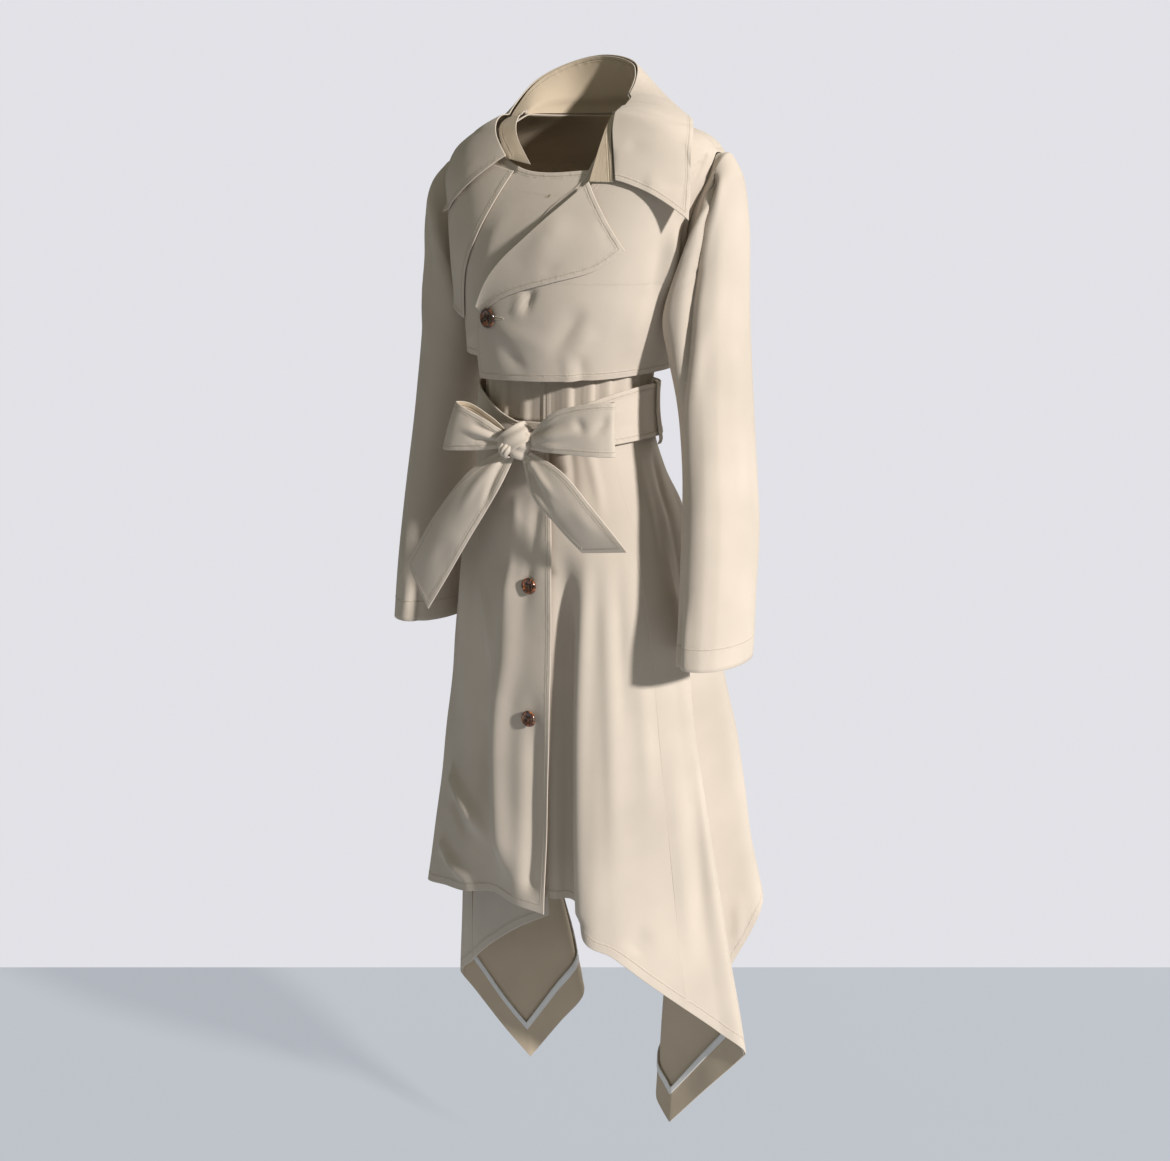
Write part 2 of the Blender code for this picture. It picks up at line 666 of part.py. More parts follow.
def hem_strip(folds, across, bottom, top, inset):
    """Strip inside a skirt panel between two heights above its hem, moved in square to its faces."""
    angle = fold_angles(folds, across)
    rise = np.linspace(top, bottom, 3)[:, None]
    drop = 1 - rise / (WAIST_SEAM - folds.at(angle, "hem"))
    points = skirt_surface(folds, angle, drop, 0.0)
    upward = points - skirt_surface(folds, angle, drop + 0.005, 0.0)
    face = np.cross(np.diff(points, axis=1), upward[:, 1:] + upward[:, :-1])
    face = face / np.linalg.norm(face, axis=-1, keepdims=True)
    before = np.concatenate([face[:, :1], face], 1)
    after = np.concatenate([face, face[:, -1:]], 1)
    outward = (before + after) / np.linalg.norm(before + after, axis=-1, keepdims=True)
    mitre = np.sum(outward * before, -1, keepdims=True)
    return points - inset / np.clip(mitre, 0.6, 1) * outward


def build_hems():
    for side, folds in (("left", LEFT_SIDE_FOLDS), ("right", RIGHT_SIDE_FOLDS)):
        inset = FACING_GAP + FACING_WALL
        facing = hem_strip(folds, 26, 0.0008, FACING_RISE, inset)
        add_cloth("hem_facing_" + side, facing, wall=FACING_WALL, flipped=True)
        inset = inset + SEAM_GAP + TAPE_WALL
        tape = hem_strip(folds, 26, FACING_RISE - TAPE_RISE, FACING_RISE, inset)
        add_cloth("hem_tape_" + side, tape, TAPE_WALL, flipped=True, finish=(TAPE_WHITE, 0.7))


# ---------------------------------------------------------------- belt and bow
BELT_DIP = Table(
    "angle middle half",
    (0, -0.3190, 0.0150),
    (14, -0.3130, 0.0190),
    (40, -0.2990, 0.0260),
    (75, -0.2890, 0.0300),
    (110, -0.2880, 0.0300),
    (180, -0.2880, 0.0300),
)

# Bow pieces: centre line, and half of the cloth's width as a sideways and an upward part.
LOOP_RIGHT = Table(
    "along x y z half_x half_z",
    (0.00, -0.0190, -0.1420, -0.3180, 0.000, 0.0090),
    (0.25, -0.0480, -0.1500, -0.3130, 0.004, 0.0190),
    (0.48, -0.0900, -0.1480, -0.3080, 0.010, 0.0280),
    (0.53, -0.0955, -0.1420, -0.3080, 0.010, 0.0285),
    (0.58, -0.0900, -0.1360, -0.3080, 0.010, 0.0280),
    (0.78, -0.0500, -0.1330, -0.3130, 0.004, 0.0190),
    (1.00, -0.0190, -0.1350, -0.3190, 0.000, 0.0085),
)
LOOP_LEFT = Table(
    "along x y z half_x half_z",
    (0.00, 0.0189, -0.1420, -0.3170, 0.000, 0.0095),
    (0.25, 0.0600, -0.1480, -0.3020, 0.001, 0.0240),
    (0.46, 0.1130, -0.1380, -0.2970, 0.000, 0.0300),
    (0.52, 0.1230, -0.1310, -0.2970, 0.000, 0.0300),
    (0.58, 0.1160, -0.1240, -0.2970, 0.000, 0.0295),
    (0.78, 0.0640, -0.1290, -0.3060, 0.001, 0.0220),
    (1.00, 0.0189, -0.1340, -0.3190, 0.000, 0.0090),
)
TAIL_RIGHT = Table(
    "along x y z half_x half_z",
    (0.00, -0.0115, -0.1400, -0.3330, 0.0060, -0.0040),
    (0.20, -0.0400, -0.1480, -0.3640, 0.0180, -0.0100),
    (0.50, -0.0890, -0.1480, -0.4250, 0.0225, -0.0140),
    (0.80, -0.1280, -0.1430, -0.4780, 0.0205, -0.0185),
    (1.00, -0.1515, -0.1400, -0.5095, 0.0155, -0.0265),
)
TAIL_LEFT = Table(
    "along x y z half_x half_z",
    (0.00, 0.0120, -0.1400, -0.3338, 0.0060, 0.0040),
    (0.20, 0.0390, -0.1450, -0.3590, 0.0190, 0.0140),
    (0.55, 0.0780, -0.1420, -0.3980, 0.0240, 0.0120),
    (1.00, 0.1150, -0.1360, -0.4360, 0.0300, 0.0040),
)


def ribbon(table, rows, columns, belly):
    """Strip of belt cloth along a table's line, its middle pushed out by belly for a soft fold."""
    along = np.linspace(0, 1, rows)[:, None]
    share = np.linspace(-1, 1, columns)[None, :]
    x = table.at(along, "x") + table.at(along, "half_x") * share
    z = table.at(along, "z") + table.at(along, "half_z") * share
    y = table.at(along, "y") - belly * np.sin(math.pi * along) * (1 - share**2)
    return np.stack(np.broadcast_arrays(x, y, z), -1)


CARRIER_PLACE = math.radians(97)
CARRIER = Table(
    "height lift",
    (-0.3280, 0.0092),
    (-0.3230, 0.0124),
    (-0.2900, 0.0132),
    (-0.2560, 0.0124),
    (-0.2530, 0.0044),
)


def carrier_points(side):
    """Belt carrier: a narrow strip over the belt just behind a side seam."""
    height = CARRIER.keys()[:, None]
    angle = side * CARRIER_PLACE + np.radians(np.array([-2.6, 2.6]))[None, :]
    return body(angle, height, CARRIER.at(height, "lift"))


def build_belt():
    angle = np.radians(np.linspace(0, 360, 37)[:-1])[None, :]
    fold = np.degrees(np.abs((angle + math.pi) % (2 * math.pi) - math.pi))
    share = np.linspace(-1, 1, 4)[:, None]
    height = BELT_DIP.at(fold, "middle") + BELT_DIP.at(fold, "half") * share
    add_cloth("belt_band", body(angle, height, BELT_LIFT), wall=0.0022, closed=True)
    for name, side in (("belt_carrier_left", 1), ("belt_carrier_right", -1)):
        add_cloth(name, carrier_points(side))
    add_cloth("bow_loop_right", ribbon(LOOP_RIGHT, 17, 4, 0.002), wall=0.0018)
    add_cloth("bow_loop_left", ribbon(LOOP_LEFT, 17, 4, 0.002), wall=0.0018, flipped=True)
    add_cloth("bow_tail_right", ribbon(TAIL_RIGHT, 12, 5, 0.006), wall=0.0018, flipped=True)
    add_cloth("bow_tail_left", ribbon(TAIL_LEFT, 11, 5, 0.004), wall=0.0018, flipped=True)


def build_knot():
    """Knot of the bow: a squashed ball, creased where the cloth wraps over it."""
    bpy.ops.mesh.primitive_uv_sphere_add(segments=16, ring_count=10, radius=0.5)
    item = bpy.context.object
    item.name = "belt_knot"
    item.data.name = "belt_knot"
    points = np.empty(len(item.data.vertices) * 3, np.float32)
    item.data.vertices.foreach_get("co", points)
    points = points.reshape(-1, 3)
    crease = 1 - 0.07 * np.cos(14 * (points[:, 0] + 0.4 * points[:, 2]))
    points = points * np.array(KNOT_SIZE) * crease[:, None] + np.array(KNOT_PLACE)
    item.data.vertices.foreach_set("co", points.ravel())
    item.data.materials.append(new_material("belt_knot", TWILL, 0.85))
    item.data.shade_smooth()
    for group in list(item.users_collection):
        group.objects.unlink(item)
    COAT.objects.link(item)


# ---------------------------------------------------------------- buttons
def add_button(name, place, facing, diameter):
    """Turned button with a raised rim and a dished face, its back at the given place."""
    radius = diameter / 2
    profile = (
        (0.0, 0.0026),
        (radius * 0.60, 0.0026),
        (radius * 0.74, 0.0038),
        (radius * 0.90, 0.0038),
        (radius, 0.0022),
        (radius * 0.90, 0.0004),
        (0.0, 0.0),
    )
    mesh = bpy.data.meshes.new(name)
    edges = [(step, step + 1) for step in range(len(profile) - 1)]
    mesh.from_pydata([(across, 0, height) for across, height in profile], edges, [])
    mesh.materials.append(new_material(name, TORTOISE, 0.25))
    item = bpy.data.objects.new(name, mesh)
    COAT.objects.link(item)
    turn = item.modifiers.new("turn", "SCREW")
    turn.steps = 20
    turn.render_steps = 20
    turn.use_merge_vertices = True
    turn.merge_threshold = 0.0001
    turn.use_smooth_shade = True
    item.location = place
    item.rotation_euler = facing


def build_buttons():
    chest = on_chest(np.array(-0.040), np.array(-0.1805), 2.2 * PLY + CLOTH + 0.0014)
    add_button("button_jacket", chest, (math.radians(90), 0, math.radians(-12)), JACKET_BUTTON)
    for name, height, front in (
        ("button_skirt_upper", -0.492, -0.1262),
        ("button_skirt_lower", -0.655, -0.1290),
    ):
        add_button(name, (0.004, front, height), (math.radians(90), 0, 0), SKIRT_BUTTON)


clear_scene()
COAT = new_collection("trench_coat")
build_jacket()
build_lapel()
build_storm_flap()
build_collar()
build_sleeves()
build_bodice()
build_skirt()
build_hems()
build_belt()
build_knot()
build_buttons()
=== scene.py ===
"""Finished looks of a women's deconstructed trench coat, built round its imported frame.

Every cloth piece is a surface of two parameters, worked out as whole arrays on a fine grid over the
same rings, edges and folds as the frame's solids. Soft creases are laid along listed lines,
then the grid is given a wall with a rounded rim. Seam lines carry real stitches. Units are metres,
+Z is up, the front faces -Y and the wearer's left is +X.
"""

import logging
import math
from dataclasses import dataclass, field, replace
from enum import Enum
from typing import Callable, Sequence

import bpy
import numpy as np
from mathutils import Euler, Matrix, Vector
from numpy.typing import NDArray


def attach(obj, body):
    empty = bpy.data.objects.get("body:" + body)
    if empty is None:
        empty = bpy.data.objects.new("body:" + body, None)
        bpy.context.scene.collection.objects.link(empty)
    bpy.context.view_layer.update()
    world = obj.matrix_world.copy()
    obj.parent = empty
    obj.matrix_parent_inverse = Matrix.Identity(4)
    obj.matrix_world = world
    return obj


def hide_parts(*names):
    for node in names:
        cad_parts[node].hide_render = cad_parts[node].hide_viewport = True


Array = NDArray[np.float64]
Curve = Callable[[Array], Array]
Point = tuple[float, float, float]
Colour = tuple[float, float, float]
Item = bpy.types.Object
Material = bpy.types.Material
Tree = bpy.types.NodeTree
Node = bpy.types.Node
Socket = bpy.types.NodeSocket

LOG = logging.getLogger("trench_coat")
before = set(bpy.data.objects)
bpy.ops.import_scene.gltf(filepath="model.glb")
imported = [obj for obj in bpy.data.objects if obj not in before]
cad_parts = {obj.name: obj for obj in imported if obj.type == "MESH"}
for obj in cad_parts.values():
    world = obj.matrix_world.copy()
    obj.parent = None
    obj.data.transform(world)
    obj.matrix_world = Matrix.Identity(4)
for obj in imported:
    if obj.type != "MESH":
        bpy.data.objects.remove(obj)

# --- sizes shared with the frame
ROUNDNESS = 2.25
NECK_HEIGHT = 0.046
ARMHOLE_TOP = {1: 0.003, -1: -0.006}
ARMHOLE_BOTTOM = -0.14
ARMHOLE_REACH_FRONT = math.radians(14)
ARMHOLE_REACH_BACK = math.radians(24)
SIDE = math.radians(90)
SEAM_ANGLE = math.radians(0.16)
SLEEVE_INSET = 0.0019
SLEEVE_RISE = 0.0009
SLACK_PLACE = math.radians(50)
SLACK_HEADING = np.array([-0.84, -0.54, 0.0])
JACKET_HEM_LEFT = -0.252
JACKET_HEM_SIDE = -0.243
JACKET_HEM_RIGHT = -0.227
RIGHT_FRONT_EDGE = 0.07
BODICE_TOP = -0.19
BODICE_SEAM = -0.152
WAIST_SEAM = -0.3
BELT_LIFT = 0.0095
KNOT_PLACE = (0.0, -0.1395, -0.319)
FACING_RISE = 0.0605
TAPE_RISE = 0.011
FACING_GAP = 0.0008
SEAM_DEGREES = 0.02
HIP = -0.42
PLY = 0.0026
STAND_CLEARANCE = 0.004
ROLL_CLEARANCE = 0.0046
LEAF_CLEARANCE = 0.006
JACKET_BUTTON = 0.023
SKIRT_BUTTON = 0.02

# --- sizes of the finish
CLOTH = 0.0013
BELT_WALL = 0.002
FACING_WALL = 0.0011
TAPE_WALL = 0.0009
TOPSTITCH = 0.005
JACKET_HEM = 0.007
SKIRT_HEM = 0.01
CUFF_HEM = 0.025
STITCH_PITCH = 0.0034
STITCH_LENGTH = 0.0026
THREAD_RADIUS = 0.00028
UNSEWN = 1.0
BELL_FALL = 2.2
FULL_TURN = 2 * math.pi
FRONT_LAP = 2.2 * PLY


# --- tables and curves
def smooth(at: Array, keys: Array, values: Array, corner: float | None = None) -> Array:
    """Cubic curve through values at rising keys.

    Between two keys it is the cubic that meets both values with the slopes of their neighbours. At a
    corner it arrives along the stretch before and leaves along the stretch after.

    Args:
        at: Places to read.
        keys: Places of the values.
        values: Known values.
        corner: Key of the corner, if any.

    Returns:
        The curve's values.
    """
    at = np.clip(at, keys[0], keys[-1])
    leaving = np.gradient(values, keys)
    arriving = leaving.copy()
    if corner is not None:
        turn = int(np.searchsorted(keys, corner))
        chords = np.diff(values) / np.diff(keys)
        arriving[turn], leaving[turn] = chords[turn - 1], chords[turn]
    left = np.clip(np.searchsorted(keys, at, side="right") - 1, 0, len(keys) - 2)
    step = keys[left + 1] - keys[left]
    part = (at - keys[left]) / step
    rise = part * part * (3 - 2 * part)
    start_pull = part * (1 - part) ** 2 * step * leaving[left]
    end_pull = part * part * (part - 1) * step * arriving[left + 1]
    return values[left] * (1 - rise) + values[left + 1] * rise + start_pull + end_pull


def ease(share: Array) -> Array:
    """Soft step from 0 to 1: three times the square less twice the cube."""
    share = np.clip(share, 0, 1)
    return share * share * (3 - 2 * share)


class Table:
    """Rows under named columns, read between rows by a curve that is smooth but for one corner."""

    def __init__(self, columns: str, *rows: Sequence[float], corner: float | None = None) -> None:
        """Keeps the rows.

        Args:
            columns: Names of the columns.
            rows: Numbers of each row: millimetres, but for shares and degrees.
            corner: Key at which the curve turns sharply, if any.
        """
        self.names = columns.split()
        self.rows = np.array(rows, float) / [
            1 if name in ("along", "share", "angle") else 1000 for name in self.names
        ]
        self.corner = corner

    def keys(self) -> Array:
        """The first column."""
        return self.rows[:, 0]

    def at(self, place: Array | float, name: str) -> Array:
        """The named column at a place."""
        values = self.rows[:, self.names.index(name)]
        return smooth(np.asarray(place, float), self.keys(), values, self.corner)

    def point(self, place: Array | float, names: str) -> Array:
        """Several named columns at a place, stacked on the last axis."""
        return np.stack([self.at(place, name) for name in names.split()], -1)

    def sided(self, place: Array | float, way: Array, one: str, other: str) -> Array:
        """One column where way isn't below 0, and the other where it is."""
        return np.where(way >= 0, self.at(place, one), self.at(place, other))


TORSO = Table(
    "height left right front back",
    (-280, 98, 130, 122, 63), (-230, 115, 136, 132, 71), (-170, 139, 137, 136, 86),
    (-120, 153, 148, 130, 93), (-60, 167, 163, 114, 95), (-15, 178.5, 171, 93, 91), (5, 174.5, 156, 81, 86),
    (25, 148, 121, 68, 79), (46, 73, 67, 52, 66),
)
BODY = Table(
    "height left right front back middle",
    (-600, 152, 150, 118, 118, -2), (-500, 145, 144, 114, 106, -5), (-420, 130, 135, 106, 90, -10),
    (-360, 112, 116, 91, 76, -22), (-300, 101, 105, 80, 66, -30), (-250, 100, 104, 83, 64, -26),
    (-190, 112, 114, 98, 64, -14),
)
LEFT_FRONT_EDGE = Table(
    "height across",
    (-252, -62), (-200, -62), (-172, -58), (-151, -50), (-138, -41), (-113, -19), (-89, 9), (-60, 42),
    (-31, 73), (0, 74.5), (24, 73), (46, 70),
)
RIGHT_FRONT_NECK = Table(
    "share height",
    (0, 46), (0.12, 46), (0.3, 41), (0.5, 22), (0.64, 0), (0.74, -15), (1, -17),
)
LAPEL = Table(
    "along roll_x roll_z edge_x edge_z",
    (0, 74.5, -29, 118, -102), (0.2, 43, -59, 90, -124), (0.42, 9, -89, 44, -138),
    (0.62, -19, -113, 6, -148), (0.82, -41, -138, -26, -160), (1, -58, -168, -53, -176),
)
NECK_FACING = Table(
    "along out_x out_z in_x in_z",
    (0, 70, 2, 84, -6), (0.3, 60, -28, 78, -36), (0.7, 28, -58, 50, -66), (1, 4, -88, 16, -92),
)
STORM_FLAP = Table(
    "along free_x free_z arm_x arm_z",
    (0, -34, -18, -104, -4), (0.25, -52, -52, -138, -38), (0.5, -73, -90, -150, -80),
    (0.75, -94, -130, -150, -125), (1, -109, -187, -145, -176),
)
COLLAR = Table(
    "along seam_x seam_y seam_z roll_x roll_y roll_z edge_x edge_y edge_z rise",
    (0, 73.5, -103, -30, 100, -97, -29, 183, -76, -69, 6),
    (0.09, 74, -87, 0, 89.5, -80, -3, 170, -50, -31, 10),
    (0.17, 72.5, -60, 27, 77.5, -60, 23, 169, -46, 6, 12),
    (0.24, 71, -30, 42, 68, -32, 50, 148, -8, 34.5, 10), (0.32, 71, 8, 47, 61, 6, 80, 105, 56, 40, 8),
    (0.4, 52, 50, 48, 40, 40, 102, 70, 84, 33, 8), (0.5, 0, 65, 48, -12, 60, 114, 0, 96, 32, 8),
    (0.6, -49, 49, 48, -58, 54, 106, -72, 84, 33, 6), (0.69, -65, 8, 47, -87, 30, 86, -118, 56, 30, 4),
    (0.77, -62, -20, 44, -94.5, 0, 59, -144, 17, 21, 3),
    (0.85, -54, -50, 29, -88, -30, 36, -148, -22, 8, 4),
    (0.92, -40, -74, 13, -72, -58, 16, -144, -52, -28, 0),
    (1, -8, -101, -11, -44, -87, -6, -149, -79, -65, -8),
)
SLEEVE = Table(
    "along out_x out_z in_x in_z y half_deep",
    (0.04, 193, -8, 155, -143, -3, 36), (0.09, 206, -25, 156, -154, -6.5, 45),
    (0.16, 215, -60, 156, -168, -5.6, 47.5), (0.26, 218.5, -115, 154.5, -193, -4.7, 48.5),
    (0.38, 220.5, -185, 153, -230, -5.5, 52), (0.55, 226, -290, 154, -300, -11, 59),
    (0.76, 238, -420, 165, -420, -22, 62), (0.9, 242, -510, 169, -510, -34, 62),
    (1, 243, -570, 171, -570, -42, 61),
)

# How far the slack of a sleeve stands out on its inner front, where no arm fills it, and how
# much higher and slimmer the left one hangs from its shoulder.
SLEEVE_SLACK = Table(
    "along out rise slim",
    (0.04, 1, 8.5, 0), (0.09, 9.5, 7, 1.5), (0.16, 19.5, 4, 5.5), (0.26, 27, 1, 6.5), (0.38, 18, 0, 5),
    (0.55, 0, 0, 2.5), (0.76, 0, 0, 0.8), (1, 0, 0, 0),
)
LEFT_FRONT_FOLDS = Table(
    "angle x y hem",
    (-6, -12, -118, -885), (6, 30, -117, -886), (14, 60, -107, -893), (22, 83, -130, -923),
    (33, 117, -120, -940), (45, 153, -90, -979), (56, 185, -58, -1016),
)
LEFT_SIDE_FOLDS = Table(
    "angle x y hem",
    (56, 185, -58, -1016), (66, 212, -23, -1054), (74, 233, 8, -1090), (77, 221.6, 24.2, -1107.2),
    (81, 159.8, 40.2, -1180.4), (85, 102.4, 51.4, -1249.8), (86, 88.6, 54.9, -1236.7),
    (86.9, 77.4, 60.4, -1226.6), (87.7, 73, 68.9, -1212.8), (88.9, 81.6, 78.9, -1185.1),
    (91, 97.6, 93, -1147), (97, 136, 133, -1062), (107, 170, 164, -975), (114, 160, 184, -952),
    (126, 125, 186, -940), corner=85,
)
BACK_FOLDS = Table(
    "angle x y hem",
    (126, 125, 186, -940), (140, 90, 169, -932), (156, 52, 180, -926), (170, 18, 166, -924),
    (180, 0, 164, -924), (190, -18, 168, -924), (205, -54, 182, -926), (220, -90, 170, -932),
    (234, -125, 186, -940),
)
RIGHT_SIDE_FOLDS = Table(
    "angle x y hem",
    (234, -125, 186, -940), (246, -160, 184, -952), (252, -170, 164, -975), (260, -126, 139, -1040),
    (267, -74, 105, -1110), (271, -62.3, 88.3, -1131), (275, -87.9, 71.6, -1169),
    (279, -122.4, 48.9, -1220.8), (283.5, -161.5, 22.2, -1157.6), (286.3, -179.3, 0.8, -1115.6),
    (291, -188.7, -15.5, -1087.4), (300, -158, -30, -1050), corner=279,
)
RIGHT_FRONT_FOLDS = Table(
    "angle x y hem",
    (300, -158, -30, -1050), (316, -110, -62, -1006), (336, -54, -88, -960), (363, 8, -96, -920),
)
OVERLAY_FOLDS = Table(
    "angle x y hem",
    (258, -190, -8, -932), (272, -203, -42, -930), (284, -196, -76, -927), (300, -156, -92, -920),
    (318, -106, -115, -908), (334, -66, -112, -900), (350, -22, -129, -900), (371, 24, -129, -903),
)
BELT_DIP = Table(
    "angle middle half",
    (0, -319, 15), (14, -313, 19), (40, -299, 26), (75, -289, 30), (110, -288, 30), (180, -288, 30),
)
LOOP_RIGHT = Table(
    "along x y z half_x half_z",
    (0, -19, -142, -318, 0, 9), (0.25, -48, -150, -313, 4, 19), (0.48, -90, -148, -308, 10, 28),
    (0.53, -95.5, -142, -308, 10, 28.5), (0.58, -90, -136, -308, 10, 28), (0.78, -50, -133, -313, 4, 19),
    (1, -19, -135, -319, 0, 8.5),
)
LOOP_LEFT = Table(
    "along x y z half_x half_z",
    (0, 18.9, -142, -317, 0, 9.5), (0.25, 60, -148, -302, 1, 24), (0.46, 113, -138, -297, 0, 30),
    (0.52, 123, -131, -297, 0, 30), (0.58, 116, -124, -297, 0, 29.5), (0.78, 64, -129, -306, 1, 22),
    (1, 18.9, -134, -319, 0, 9),
)
TAIL_RIGHT = Table(
    "along x y z half_x half_z",
    (0, -11.5, -140, -333, 6, -4), (0.2, -40, -148, -364, 18, -10), (0.5, -89, -148, -425, 22.5, -14),
    (0.8, -128, -143, -478, 20.5, -18.5), (1, -151.5, -140, -509.5, 15.5, -26.5),
)
TAIL_LEFT = Table(
    "along x y z half_x half_z",
    (0, 12, -140, -333.8, 6, 4), (0.2, 39, -145, -359, 19, 14), (0.55, 78, -142, -398, 24, 12),
    (1, 115, -136, -436, 30, 4),
)
CARRIER_PLACE = math.radians(97)
CARRIER = Table("height lift", (-328, 9.2), (-323, 12.4), (-290, 13.2), (-256, 12.4), (-253, 4.4))


# --- body rings
def ring_point(
    table: Table, angle: Array, height: Array, lift: Array | float, middle: Array | float,
) -> Array:
    """Point of a rounded ring round the body.

    |x / half width| and |y / reach| to the roundness power add up to 1.

    Args:
        table: Half widths and reaches by height.
        angle: Radians from the front centre towards the wearer's left.
        height: Height of the ring.
        lift: Distance that it is moved out.
        middle: Place of its middle in depth.

    Returns:
        The points.
    """
    power = 2 / ROUNDNESS
    across = np.sin(angle)
    fore = np.cos(angle)
    half = table.sided(height, across, "left", "right") + lift
    reach = table.sided(height, fore, "front", "back") + lift
    x = half * np.sign(across) * np.abs(across) ** power
    y = middle - reach * np.sign(fore) * np.abs(fore) ** power
    return np.stack(np.broadcast_arrays(x, y, height), -1)


def torso(angle: Array, height: Array, lift: Array | float) -> Array:
    """Point of the jacket's ring."""
    return ring_point(TORSO, angle, height, lift, 0.0)


def body(angle: Array, height: Array, lift: Array | float) -> Array:
    """Point of the bodice's and skirt's ring."""
    return ring_point(BODY, angle, height, lift, BODY.at(height, "middle"))


def angle_across(x: Array, height: Array, lift: Array | float = 0.0) -> Array:
    """Angle on the front of the jacket at which its ring reaches x."""
    half = TORSO.sided(height, x, "left", "right") + lift
    share = np.clip(np.abs(x) / half, 0, 1)
    return np.sign(x) * np.arcsin(share ** (ROUNDNESS / 2))


def on_chest(x: Array, height: Array, lift: Array | float) -> Array:
    """Point on the front of the jacket at x and height, moved out by lift."""
    return torso(angle_across(x, height, lift), height, lift)


def front_lift(angle: Array) -> Array:
    """The left front lies over the right one in front and meets the back at the side."""
    return FRONT_LAP * ease((math.radians(82) - angle) / math.radians(40))


def spread(count: int, rim: float = 0.004) -> Array:
    """Shares from 0 to 1 at even steps, with one more close to each end for a crisp edge.

    Args:
        count: Number of even steps.
        rim: Share between an end and the place beside it.

    Returns:
        The shares.
    """
    return np.concatenate([[0.0, rim], np.linspace(0, 1, count + 1)[1:-1], [1 - rim, 1.0]])


def turns(count: int) -> Array:
    """Even angles of a full turn, as one row."""
    return np.linspace(0, FULL_TURN, count + 1)[:-1][None, :]


def grid_quads(rows: int, columns: int, closed: bool) -> Array:
    """Quads between the points of a grid, counted row by row; the last column joins the first if closed."""
    row = np.arange(rows - 1)[:, None] * columns
    column = np.arange(columns if closed else columns - 1)[None, :]
    following = (column + 1) % columns
    quads = (row + column, row + following, row + columns + following, row + columns + column)
    return np.stack(quads, -1).reshape(-1, 4)


def unit(vectors: Array) -> Array:
    """Vectors at length 1."""
    return vectors / np.maximum(np.linalg.norm(vectors, axis=-1, keepdims=True), 1e-12)


# --- creases
@dataclass(frozen=True)
class Crease:
    """A soft trough or ridge that runs along a bent line on the cloth.

    Attributes:
        bend: Point that pulls its middle aside.
        width: Distance at which it has all but faded.
        depth: Height of a ridge, or less than 0 for a trough.
        lean: From -1 to 1, how much steeper one flank is.
        fade: Shares of its length over which it grows and dies.
    """

    start: Array
    bend: Array
    end: Array
    width: float
    depth: float
    lean: float
    fade: tuple[float, float]

    def on_side(self, side: int) -> "Crease":
        """The crease laid on the wearer's left for side 1, or mirrored to the right for side -1."""
        flip = np.array([side, 1, 1])
        return replace(self, start=flip * self.start, bend=flip * self.bend, end=flip * self.end)

    def relief(self, points: Array, normals: Array) -> Array:
        """Displacement of each point: a bell over its distance from the line, grown in and faded out.

        Args:
            points: Grid of points.
            normals: Its outward directions.

        Returns:
            Distances along the normals.
        """
        steps = 10
        share = np.linspace(0, 1, steps + 1)[:, None]
        line = (1 - share) ** 2 * self.start + share**2 * self.end
        line = line + 2 * share * (1 - share) * self.bend
        nearest = np.full(points.shape[:-1], 1e9)
        along = np.zeros(points.shape[:-1])
        aside = np.zeros(points.shape[:-1])
        for step in range(steps):
            run = line[step + 1] - line[step]
            apart = points - line[step]
            part = np.clip(apart @ run / (run @ run), 0, 1)
            apart = apart - part[..., None] * run
            gap = np.linalg.norm(apart, axis=-1)
            closer = gap < nearest
            nearest = np.where(closer, gap, nearest)
            along = np.where(closer, (step + part) / steps, along)
            aside = np.where(
                closer, np.sum(np.cross(normals, run / np.linalg.norm(run)) * apart, -1), aside,
            )
        width = self.width * (1 + self.lean * np.tanh(aside / self.width))
        strength = np.ones_like(along)
        for share, fade in zip((along, 1 - along), self.fade):
            if fade > 0:
                strength = strength * ease(share / fade)
        return self.depth * strength * np.exp(-BELL_FALL * (nearest / width) ** 2)


def crease_rows(*rows: Sequence[float]) -> tuple[Crease, ...]:
    """Creases from rows of fourteen numbers.

    Args:
        rows: The x, y and z of the start, the bend and the end, the width and the depth, all in
            millimetres, then the lean and both fades.

    Returns:
        The creases.
    """
    made = []
    for row in rows:
        start, bend, end = np.array(row[:9]).reshape(3, 3) / 1000
        made.append(Crease(start, bend, end, row[9] / 1000, row[10] / 1000, row[11], (row[12], row[13])))
    return tuple(made)


def ripples(points: Array, reach: float, height: float, seed: int) -> Array:
    """Slow unevenness of hung cloth: six sine waves in seeded directions, added up.

    Args:
        points: Grid of points.
        reach: Length of the longest wave.
        height: Greatest displacement.
        seed: Chooses the directions.

    Returns:
        Distances along the normals.
    """
    chance = np.random.default_rng(seed)
    total, waves = np.zeros(points.shape[:-1]), 6
    for _ in range(waves):
        direction = chance.normal(size=3) * np.array([1.0, 1.0, 0.45])
        direction = direction / np.linalg.norm(direction)
        length = reach * (0.55 + 0.45 * chance.random())
        total = total + np.sin(FULL_TURN * (points @ direction / length + chance.random()))
    return height * total / waves


# --- cloth grids
class Edge(Enum):
    """Edges of a cloth grid, by its rows and columns."""

    FIRST_ROW = "first_row"
    LAST_ROW = "last_row"
    FIRST_COLUMN = "first_column"
    LAST_COLUMN = "last_column"


def sewn(*sides: Edge, inset: float = TOPSTITCH) -> dict[Edge, float]:
    """Edges with a line of stitches at the same distance from each."""
    return dict.fromkeys(sides, inset)


def distance_to(points: Array, line: Array) -> Array:
    """Distance of each point from a line of points, measured square to its nearest stretch."""
    flat = points.reshape(-1, 3)
    best = np.full(len(flat), 1e9)
    for start, end in zip(line[:-1], line[1:]):
        run = end - start
        span = max(float(run @ run), 1e-14)
        part = np.clip((flat - start) @ run / span, 0, 1)
        gap = np.linalg.norm(flat - start - part[:, None] * run, axis=-1)
        best = np.minimum(best, gap)
    return best.reshape(points.shape[:-1])


